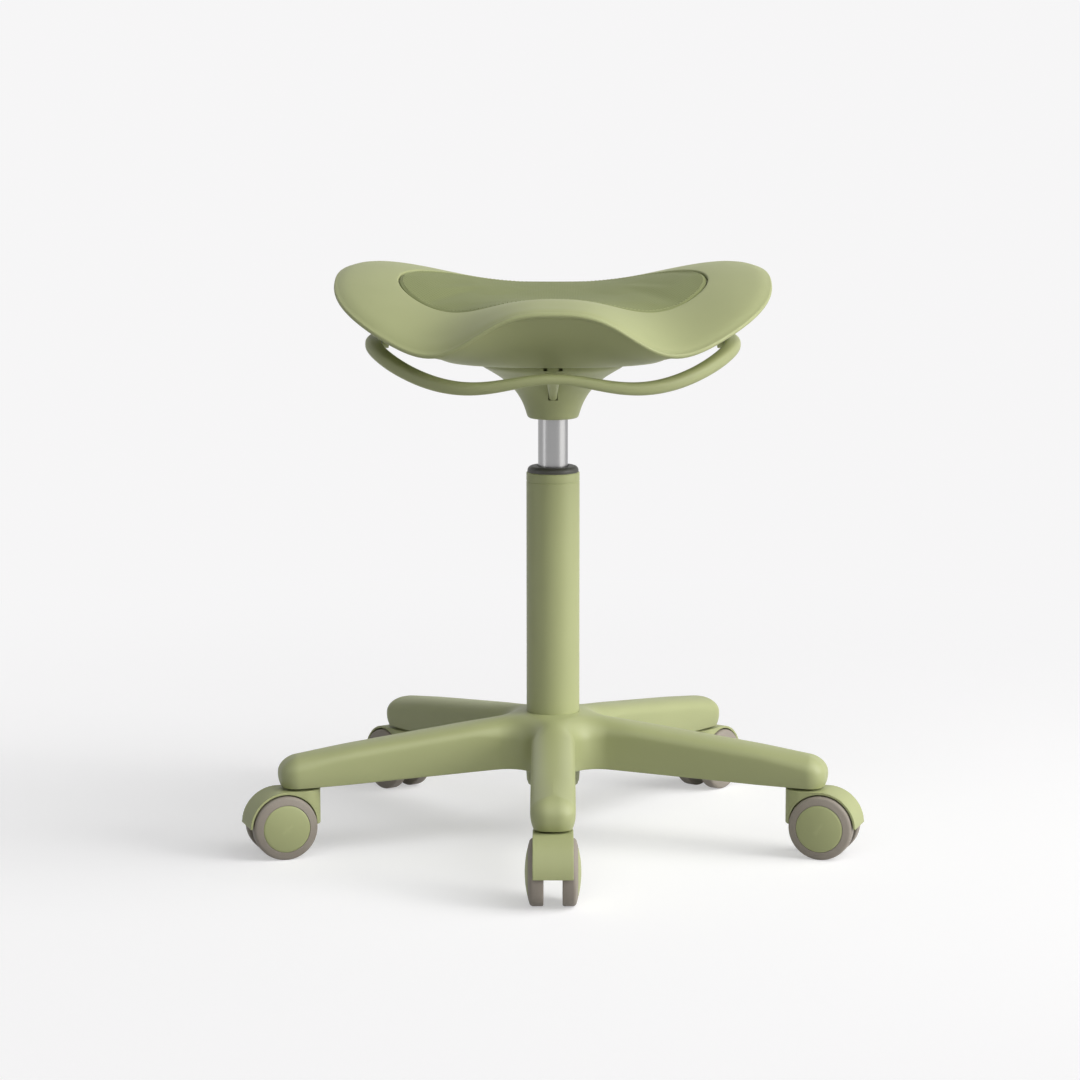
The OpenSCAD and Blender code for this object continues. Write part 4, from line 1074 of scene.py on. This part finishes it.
def spoke_section(y, z, width, height, hollow):
    """Cross-section in x and z: rails on both sides and a hollow between them."""
    w, h = width / 2, height / 2
    rail = RAIL_SHARE * w
    return [
        (-w, y, z - h), (-w, y, z + h), (-w + rail, y, z + h), (-w + rail * RAIL_FOOT, y, z + h - hollow),
        (w - rail * RAIL_FOOT, y, z + h - hollow), (w - rail, y, z + h), (w, y, z + h), (w, y, z - h),
    ]


front_z = PIVOT_HEIGHT + LOOP["Hump"] - LOOP["Fall"]
stations = [
    spoke_section(-129, front_z - 1.5, 12.6, 6.5, 0.3),
    spoke_section(-122, front_z - 2.6, 12.4, 6.5, 1.2),
    spoke_section(-105, front_z - 7.4, 11.4, 6.4, 1.8),
    spoke_section(-75, front_z - 15.2, 9.8, 6.2, 1.8),
    spoke_section(-48, front_z - 22.5, 8.8, 6.0, 1.6),
    spoke_section(-37, SPOKE_TIP_Z + 1.6, 8.1, 6.0, 1.2),
    spoke_section(-33, SPOKE_TIP_Z + 0.2, 8.0, 6.0, 0.6),
    spoke_section(-27, SPOKE_TIP_Z, 7.8, 6.0, 0.0),
]
points = [p for section in stations for p in section]
faces = grid_faces(len(stations), 8) + [tuple(range(8))[::-1], tuple(range(len(points) - 8, len(points)))]
spoke = make_mesh("lever_spoke", points, faces, 60)
mend(spoke)
smoother = spoke.modifiers.new("smoother", "SUBSURF")
smoother.levels = smoother.render_levels = 3
settle(spoke)
spoke.data.shade_smooth()
dress(spoke, "lever", "sage_plastic", leaf_plastic)

# %% [markdown]
# The mechanism housing is a bell of cast metal between cylinder and seat. Its outside is a curve
# through the drawing's points; a lathe turns it, hollow inside, and two cuts open it: the deep slot
# for the spoke, and two small vents below the rim that show as dark dashes from the front. Two flat
# ears inside it carry the crank's pin.

# %% Mechanism housing
HOUSING_LINE = [
    (23.2, 0), (24.4, 2.5), (26.5, 9), (29, 15), (32.7, 21.5), (37.2, 27.5),
    (42.7, 33), (50.2, 39), (59, 44.5), (65, 48), (67, 50.6), (67, 55),
]
HOUSING_WALL = 3
VENT_X, VENT_HALF, VENT_LOW, VENT_HIGH = 7, 1.9, 50.4, 53.2
SLOT_HALF, SLOT_BACK, SLOT_LOW, SLOT_HIGH = 4.4, -17.3, 19.4, 30
FRONT_Y = -70
EAR_X, EAR_T = 7.8, 3
EAR_LINE = [(-25, 415), (-15, 415), (-15, 446), (-40, 446), (-33, 432)]


def spline(points):
    """A smooth curve through the given points, with four steps between them."""
    p = np.array([points[0], *points, points[-1]], float)
    out = []
    for k in range(1, len(p) - 2):
        a, b, c, d = p[k - 1], p[k], p[k + 1], p[k + 2]
        for t in (0, 0.25, 0.5, 0.75):
            bend = (2 * a - 5 * b + 4 * c - d) * t**2 + (3 * b - a - 3 * c + d) * t**3
            out.append(0.5 * (2 * b + (c - a) * t + bend))
    out.append(p[-2])
    return [tuple(q) for q in out]


def box_piece(name, low_corner, high_corner):
    """A box between two corners, in millimetres."""
    (x0, y0, z0), (x1, y1, z1) = low_corner, high_corner
    points = [(x, y, z) for x in (x0, x1) for y in (y0, y1) for z in (z0, z1)]
    faces = [(0, 1, 3, 2), (4, 6, 7, 5), (0, 4, 5, 1), (2, 3, 7, 6), (0, 2, 6, 4), (1, 5, 7, 3)]
    thing = make_mesh(name, points, faces)
    mend(thing)
    return thing


def combine(thing, other, operation):
    """Joins, cuts or crosses two closed pieces. The first keeps the result, the other goes."""
    act = thing.modifiers.new("combine", "BOOLEAN")
    act.operation = operation
    act.solver = "EXACT"
    act.object = other
    settle(thing)
    bpy.data.objects.remove(other)


outside = spline(HOUSING_LINE)
inside = [(r - HOUSING_WALL, z) for r, z in outside if 4 < z < 44 and r - HOUSING_WALL < 51]
profile = [(14.05, 0), (22.6, 0), (23.2, 0.5), *outside[2:-1], (67, 54.4), (66.4, 55), (51, 55), (51, 44.2)]
profile += [*inside[::-1], (22.4, 3.2), (17, 3.2), (17, 38), (14.05, 38)]
bell = lathe("mechanism_bell", [(r, HOUSING_FOOT + z) for r, z in profile], 128)
vent_low, vent_high = HOUSING_FOOT + VENT_LOW, HOUSING_FOOT + VENT_HIGH
cutters = [
    box_piece("vent", (x - VENT_HALF, FRONT_Y, vent_low), (x + VENT_HALF, FRONT_Y + 10, vent_high))
    for x in (-VENT_X, VENT_X)
]
slot_low, slot_high = HOUSING_FOOT + SLOT_LOW, HOUSING_FOOT + SLOT_HIGH
cutters.append(box_piece("slot", (-SLOT_HALF, FRONT_Y, slot_low), (SLOT_HALF, SLOT_BACK, slot_high)))
for cutter in cutters:
    combine(bell, cutter, "DIFFERENCE")
bell.data.shade_smooth()
bell.data.set_sharp_from_angle(angle=math.radians(30))
dress(bell, "seat", "sage_metal", leaf_paint, "mechanism_housing")

ears = []
for x in (-EAR_X, EAR_X):
    ear = slab("ear", EAR_LINE, EAR_T)
    ear.data.transform(Matrix.Translation((x * MM, 0, 0)))
    ears.append(ear)
dress(merge("crank_ears", ears), "seat", "sage_metal", leaf_paint)

# %% [markdown]
# The steel cylinder slides in a painted column, and a dark plastic collar closes the gap between
# them. All three are plain lathe work: what makes them look real are the small radii on the edges
# and a fine groove near the column's top, where its liner is pressed in.

# %% Cylinder, collar and column
TUBE_BORE, TUBE_IN_HUB, GROOVE_DEPTH, COLLAR_ROUND = 22.5, 40, 0.3, 4.2

lift = [(11.5, 166), (13.4, 165), (14, 165.8), (14, 435), (13, 436.2), (11.5, 436.2)]
dress(lathe("lift_rod", lift, 96), "seat", "steel", ground_steel, "lift_cylinder")

edge, foot = COLUMN_RADIUS, HUB_TOP - TUBE_IN_HUB
tube = [(TUBE_BORE, foot), (edge, foot), (edge, COLUMN_TOP - 9.2)]
tube += [(edge - GROOVE_DEPTH, COLUMN_TOP - 8.9), (edge - GROOVE_DEPTH, COLUMN_TOP - 8.1)]
tube += [(edge, COLUMN_TOP - 7.8), (edge, COLUMN_TOP - 0.7)]
tube += [(edge - 0.7, COLUMN_TOP), (TUBE_BORE, COLUMN_TOP)]
dress(lathe("column_shell", tube, 128), "base", "sage_metal", leaf_paint, "column_tube")

edge, foot = COLUMN_RADIUS - 1, COLUMN_TOP + 0.05
collar = [(14.6, COLUMN_TOP - 6), (22.3, COLUMN_TOP - 6), (22.3, foot), (edge, foot)]
for a in np.radians(np.linspace(0, 90, 8)):
    out, up = polar(COLLAR_ROUND, a)
    collar.append((edge - COLLAR_ROUND + out, COLLAR_TOP - COLLAR_ROUND + up))
collar += [(15.4, COLLAR_TOP), (14.6, COLLAR_TOP - 0.8)]
dress(lathe("collar_ring", collar, 128), "base", "dark_plastic", dark_plastic, "column_collar")

# %% [markdown]
# The five-armed base is cast in one piece, so its arms flow into the hub. It is made from one tenth:
# half an arm and half the valley beside it. Columns of points run from the arm's centre line out to
# its edge, round the edge, down the wall and back underneath. The top falls away towards the edge in
# a soft crown, by the distance to the outline, which is exact because the outline is a few arcs and
# lines. Mirrored and turned five times, the tenths meet without a seam.

# %% Base star: the outline of half an arm
ARM_HALF, ARM_END, ARM_TIP_R, BLEND_R = 20.3, 267.0, 16.0, 24.0
HUB_BORE, HUB_SKIRT = 25.05, 28.8
HALF_SECTOR = 180 / ARMS
blend_at = (ARM_HALF + BLEND_R) / math.sin(math.pi / ARMS)
blend_x, blend_y = polar(blend_at, math.pi / ARMS)
straight_end, tip_y = ARM_END - ARM_TIP_R, ARM_HALF - ARM_TIP_R

outline, inward, spine_top, spine_low = [], [], [], []


def column(place, towards, top, under):
    """A column of points: its place on the outline, the way in, and where it ends above and below."""
    outline.append(place)
    inward.append(towards)
    spine_top.append(top)
    spine_low.append(under)


for k in range(14):
    share = k / 13
    a = math.radians(180 + HALF_SECTOR + (90 - HALF_SECTOR) * share)
    s = math.radians(HALF_SECTOR * (1 - share))
    dx, dy = polar(BLEND_R, a)
    column((blend_x + dx, blend_y + dy), polar(1, a), polar(HUB_BORE, s), polar(HUB_SKIRT, s))
HUB_COLUMNS = len(outline)
for k in range(1, 31):
    share = k / 30
    edge_x, top_x, low_x = [a + (straight_end - a) * share for a in (blend_x, HUB_BORE, HUB_SKIRT)]
    column((edge_x, ARM_HALF), (0, -1), (top_x, 0), (low_x, 0))
for k in range(1, 11):
    share = k / 10
    a = math.radians(90 * (1 - share))
    dx, dy = polar(ARM_TIP_R, a)
    spine = (straight_end + 6 * share, 0)
    column((straight_end + dx, tip_y + dy), polar(-1, a), spine, spine)
column((ARM_END, 0), (-1, 0), (straight_end + 7, 0), (straight_end + 7, 0))
outline, inward = np.array(outline), np.array(inward)
spine_top, spine_low = np.array(spine_top), np.array(spine_low)
print("columns in half an arm:", len(outline))

# %% Base star: heights
ARM_LOW, ARM_END_TOP, HUB_EDGE = 65.5, 94.3, 25
EDGE_REACH, DRAFT, FOOT_R = 9.0, 2.4, 1.2


def edge_distance(x, y):
    """Distance to the outline, for points of the half arm."""
    hub = np.hypot(x - blend_x, y - blend_y) - BLEND_R
    dx, dy = x - straight_end, np.abs(y) - tip_y
    corner = ARM_TIP_R - np.hypot(np.maximum(dx, 0), np.maximum(dy, 0)) - np.minimum(np.maximum(dx, dy), 0)
    return np.where(x < blend_x, hub, corner)


def crown(r):
    """Fall of the top at the edge, its reach inwards, and how late it falls, at a distance from the hub."""
    fall = np.interp(r, [45, 60, 85, 215, 262], [21, 18, 12.5, 12.5, 17])
    reach = np.interp(r, [45, 60, 85, 200, 262], [21, 20, 20.3, 20.3, 32])
    return fall, reach, np.interp(r, [45, 60, 85], [2, 2.1, 2.4])


def arm_top(x, y):
    """Height of the arm's upper side: a line that sinks from the hub, less the fall of the crown."""
    r = np.hypot(x, y)
    line = HUB_TOP - (HUB_TOP - ARM_END_TOP) * (r - HUB_EDGE) / (ARM_END - HUB_EDGE)
    fall, reach, late = crown(r)
    near = np.clip(1 - edge_distance(x, y) / reach, 0, 1)
    return line - fall * (1 - (1 - near**late) ** (1 / late))


def arm_low(x, y):
    """Height of the arm's underside, by the distance from the hub."""
    return np.interp(np.hypot(x, y), [0, 45, 72, 207, 262], [72.5, 71.9, 71.1, 66.5, ARM_LOW])


def row(places, heights):
    """A row of the half arm's grid: a place and a height in every column."""
    return np.stack([*places.T, heights], axis=1)


rows = []
band = outline + inward * EDGE_REACH
for share in (1, 0.95, 0.8, 0.6, 0.4, 0.2):
    places = band + (spine_top - outline - inward * EDGE_REACH) * share
    rows.append(row(places, arm_top(*places.T)))
for d in (EDGE_REACH, 7.4, 6.0, 4.7, 3.6, 2.6, 1.75, 1.05, 0.5, 0.15, 0):
    places = outline + inward * d
    rows.append(row(places, arm_top(*places.T)))
wall_top = rows[-1][:, 2]
foot = arm_low(*outline.T)
for share in (0.3, 0.55, 0.8, 1):
    places = outline + inward * DRAFT * share**2.2
    rows.append(row(places, wall_top + (foot + FOOT_R - wall_top) * share))
for turn in np.radians([30, 60, 90]):
    places = outline + inward * (DRAFT + FOOT_R * (1 - math.cos(turn)))
    rows.append(row(places, foot + FOOT_R * (1 - math.sin(turn))))
start = outline + inward * (DRAFT + FOOT_R)
for share in (0.15, 0.4, 0.7, 1):
    places = start + (spine_low - start) * share
    rows.append(row(places, arm_low(*places.T)))
tenth = np.array(rows)
tenth[0, :, 1] = spine_top[:, 1]
print("grid of half an arm:", tenth.shape)

# %% Base star: hub collar, mirror and turns
HUB_ROUND = 3
hub_angle = np.arctan2(spine_top[:HUB_COLUMNS, 1], spine_top[:HUB_COLUMNS, 0])
hub_low = float(arm_low(HUB_SKIRT, 0.0))
barrel = []
for turn in np.radians([30, 60, 90]):
    barrel.append((HUB_SKIRT - HUB_ROUND * math.sin(turn), hub_low - HUB_ROUND * (1 - math.cos(turn))))
barrel += [(25.0, HUB_FOOT + 6), (24.7, HUB_FOOT + 5), (24.1, HUB_FOOT + 4.6), (23.9, HUB_FOOT + 2.6)]
barrel += [(23.5, HUB_FOOT + 2), (23.1, HUB_FOOT + 2), (23.1, HUB_FOOT + 27), (HUB_BORE, HUB_FOOT + 27)]
hub_rows = [tenth[-1, :HUB_COLUMNS]]
for r, z in barrel:
    hub_rows.append(ring(r * np.cos(hub_angle), r * np.sin(hub_angle), z))
hub_rows += [tenth[0, :HUB_COLUMNS] - [0, 0, 0.5], tenth[0, :HUB_COLUMNS]]

star_points, star_faces = [], []
for a in ARM_ANGLES:
    turn = np.array([[math.cos(a), math.sin(a), 0], [-math.sin(a), math.cos(a), 0], [0, 0, 1]])
    for way in (1, -1):
        for sheet in (tenth, np.array(hub_rows)):
            base = len(star_points)
            star_points.extend((sheet.reshape(-1, 3) * [1, way, 1]) @ turn)
            tops = grid_faces(sheet.shape[0], sheet.shape[1], around=False)
            star_faces += [tuple(base + k for k in face[::way]) for face in tops]
star = make_mesh("five_arm_base", star_points, star_faces, 55)
print("open edges in the base:", mend(star, 2e-5))
star.data.shade_smooth()
star.data.set_sharp_from_angle(angle=math.radians(55))
smoother = star.modifiers.new("smoother", "SUBSURF")
smoother.levels = smoother.render_levels = 1
dress(star, "base", "sage_metal", leaf_paint, "base_star")

# %% [markdown]
# Each caster has a hood between two wheels. The hood is a block with a round back, joined to a
# quarter round over the wheels, with both wheel bays cut out of it. Moulded plastic has soft edges
# everywhere, also where two cuts meet, and a bevel gets lost there. Turning the block into a fine
# skin of even cells, and relaxing that skin, rounds every edge alike. It is made once, then copied.

# %% Caster hood
HOOD_R, HOOD_W, HOOD_LOW, AXLE_Z = 33.5, 36.0, 30.5, WHEEL_RADIUS
HOOD_TOP = high("caster_hood_1").z
BACK_X, BAY_Y, BAY_R, BAY_W = 1.5, 28, 31.2, 40
BOSS_R, BOSS_W = 4.1, 16
SKIN_CELL = 0.62


def rod(name, centre, axis, radius, length, segments):
    """A closed cylinder, in millimetres, along axis Y or Z."""
    points = []
    for h in (-length / 2, length / 2):
        for k in range(segments):
            a, b = polar(radius, 2 * math.pi * k / segments)
            p = {"Y": (a, h, b), "Z": (a, b, h)}[axis]
            points.append(tuple(c + o for c, o in zip(p, centre)))
    faces = grid_faces(2, segments) + [tuple(range(segments))[::-1], tuple(range(segments, 2 * segments))]
    thing = make_mesh(name, points, faces)
    mend(thing)
    return thing


hood = rod("hood", (TRAIL, 0, AXLE_Z), "Y", HOOD_R, HOOD_W, 160)
combine(hood, box_piece("half", (TRAIL - 0.01, -40, HOOD_LOW), (80, 40, 90)), "INTERSECT")
back = rod("back", (BACK_X, 0, (HOOD_LOW + HOOD_TOP) / 2), "Z", HOOD_W / 2, HOOD_TOP - HOOD_LOW, 128)
middle = box_piece("middle", (BACK_X, -HOOD_W / 2, HOOD_LOW), (TRAIL + 0.5, HOOD_W / 2, HOOD_TOP))
combine(back, middle, "UNION")
combine(hood, back, "UNION")
combine(hood, rod("boss", (TRAIL, 0, AXLE_Z), "Y", BOSS_R, BOSS_W, 48), "UNION")
for way in (-1, 1):
    combine(hood, rod("bay", (TRAIL, way * BAY_Y, AXLE_Z), "Y", BAY_R, BAY_W, 160), "DIFFERENCE")
skin = hood.modifiers.new("even_skin", "REMESH")
skin.mode = "VOXEL"
skin.voxel_size = SKIN_CELL * MM
settle(hood)
relax = hood.modifiers.new("relax", "LAPLACIANSMOOTH")
relax.iterations = 3
relax.lambda_factor = 0.35
settle(hood)
print("hood:", len(hood.data.vertices), "points, size", [round(v * 1000, 1) for v in hood.dimensions])

# %% [markdown]
# A wheel is a green disc with a domed face and a rubber tyre round it. Tyre and disc share one bulge:
# the tread is widest inside, next to the hood, and its shoulder bends over into the disc, with a fine
# groove where the two meet. Where every wheel sits is read from the frame.

# %% Wheels and tyres
WHEEL_GAP, CASTER_W, DISC_R, DOME = 16.8, 50.0, 22.0, 5
TREAD_W = (CASTER_W - WHEEL_GAP) / 2
TYRE_IN = DISC_R + 0.6


def bulge(r):
    """Height of the wheel's outer side above its inner face, at a radius."""
    return TREAD_W - DOME * (r / WHEEL_RADIUS) ** 2


def placed(source, name, matrix):
    """A copy of a piece with its place baked into its mesh."""
    copy = source.copy()
    copy.data = source.data.copy()
    copy.name = copy.data.name = name
    copy.data.transform(matrix)
    bpy.context.scene.collection.objects.link(copy)
    return copy


edge, shoulder = bulge(DISC_R), bulge(TYRE_IN)
disc_profile = [(2.6, 0), (8.6, 0), (9, 0.4), (9, 3), (18, 3), (18, 1.4), (18.4, 1), (DISC_R, 1)]
disc_profile += [(DISC_R, edge - 0.8), (DISC_R - 0.15, edge - 0.3), (DISC_R - 0.6, edge + 0.05)]
disc_profile += [(r, bulge(r)) for r in (20.2, 18, 15, 12, 8, 4, 0.01)]
disc_profile += [(0.01, 14), (2.6, 14)]
tyre_profile = [(DISC_R + 0.05, 0.6), (28.5, 0), (29.2, 0.15), (29.7, 0.6), (WHEEL_RADIUS, 1.4)]
tyre_profile += [(WHEEL_RADIUS, 9.2), (29.88, 10.1), (29.5, 10.95), (28.9, 11.6)]
tyre_profile += [(r, bulge(r)) for r in (28, 27, 26, 25, 24, 23.2, TYRE_IN)]
tyre_profile += [(DISC_R + 0.3, shoulder - 0.05), (DISC_R + 0.1, shoulder - 0.4)]
tyre_profile += [(DISC_R + 0.05, shoulder - 1)]
wheel = lathe("wheel", disc_profile, 96)
tyre = lathe("tyre", tyre_profile, 96)

for i, angle in enumerate(ARM_ANGLES, 1):
    spin = Matrix.Rotation(angle, 4, "Z")
    stem = spin @ Matrix.Translation((STEM_CIRCLE * MM, 0, 0))
    dress(placed(hood, f"hood_{i}", stem), f"caster_{i}", "sage_plastic", leaf_plastic, f"caster_hood_{i}")
    for label in ("left", "right"):
        which = f"{label}_{i}"
        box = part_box(f"wheel_{which}")
        way = 1 if (spin.inverted() @ ((box[0] + box[1]) / 2)).y > 0 else -1
        seat = stem @ Matrix.Translation((TRAIL * MM, way * WHEEL_GAP / 2 * MM, WHEEL_RADIUS * MM))
        seat = seat @ Matrix.Rotation(math.radians(-90 * way), 4, "X")
        disc, rubber = placed(wheel, f"disc_{which}", seat), placed(tyre, f"rubber_{which}", seat)
        dress(disc, f"wheel_{which}_body", "sage_plastic", leaf_plastic, f"wheel_{which}")
        dress(rubber, f"wheel_{which}_body", "tyre", tyre_rubber, f"tyre_{which}")
for source in (hood, wheel, tyre):
    bpy.data.objects.remove(source)

# %% [markdown]
# Four screws hold the two shells together from below. Their heads have a hexagon socket. Points
# mark their places, and a small tree sets one screw on each, the way a pattern is copied in CAD.

# %% Shell screws
SCREW_PLACES = [(82, 34), (34, 69.5), (-34, 69.5), (-82, 34)]
SCREWS = {"Turn": 17.0}
HEAD_R, HEAD_H, SHAFT_R, SHAFT_L = 4.5, 2.45, 2.5, 18.5
SOCKET_R, SOCKET_DEPTH = 1.5, 1.6


def screw_mesh():
    """A pan-head screw that points up, with a hexagon socket in its head."""
    profile = [(0.01, -HEAD_H + SOCKET_DEPTH), (SOCKET_R, -HEAD_H + SOCKET_DEPTH), (SOCKET_R, -HEAD_H + 0.2)]
    profile += [(SOCKET_R + 0.3, -HEAD_H), (HEAD_R - 1.4, -HEAD_H)]
    profile += [(HEAD_R - 0.4, -HEAD_H + 0.5), (HEAD_R, -HEAD_H + 1.3)]
    profile += [(HEAD_R, -0.2), (HEAD_R - 0.2, 0), (SHAFT_R, 0), (SHAFT_R, SHAFT_L), (0.01, SHAFT_L)]
    thing = lathe("screw", profile, 36)
    for v in thing.data.vertices:
        p = v.co * 1000
        if p.z < -HEAD_H + SOCKET_DEPTH + 0.1 and 0.5 < math.hypot(p.x, p.y) < SOCKET_R + 0.05:
            a = math.atan2(p.y, p.x)
            hexagon = SOCKET_R / math.cos((a + math.pi / 6) % (math.pi / 3) - math.pi / 6)
            v.co = Vector((*polar(hexagon, a), p.z)) * MM
    mend(thing)
    return thing


spots = bpy.data.meshes.new("screw_spots")
spots.from_pydata([(x * MM, y * MM, (SEAT_FLOOR - 0.05) * MM) for x, y in SCREW_PLACES], [], [])
spots_object = add_object("screw_spots", spots)
tree, given = new_tree("screws", SCREWS)
dots = node(tree, "GeometryNodeMeshToPoints", Mesh=given["Geometry"]).outputs[0]
turn = calc(tree, "MULTIPLY", node(tree, "GeometryNodeInputIndex").outputs[0], given["Turn"])
spin = node(tree, "ShaderNodeCombineXYZ", Z=turn).outputs[0]
aim = node(tree, "FunctionNodeEulerToRotation", Euler=spin).outputs[0]
screw = screw_mesh()
end_tree(tree, scatter(tree, dots, screw, aim), black_steel)
screws = grow("shell_screw_set", spots_object, tree, SCREWS)
for source in (spots_object, screw):
    bpy.data.objects.remove(source)
dress(screws, "seat", "dark_steel", None, "shell_screws")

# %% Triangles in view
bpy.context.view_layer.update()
visible = [thing for thing in bpy.data.objects if thing.type == "MESH" and not thing.hide_render]
print("triangles:", sum(len(face.vertices) - 2 for thing in visible for face in thing.data.polygons))
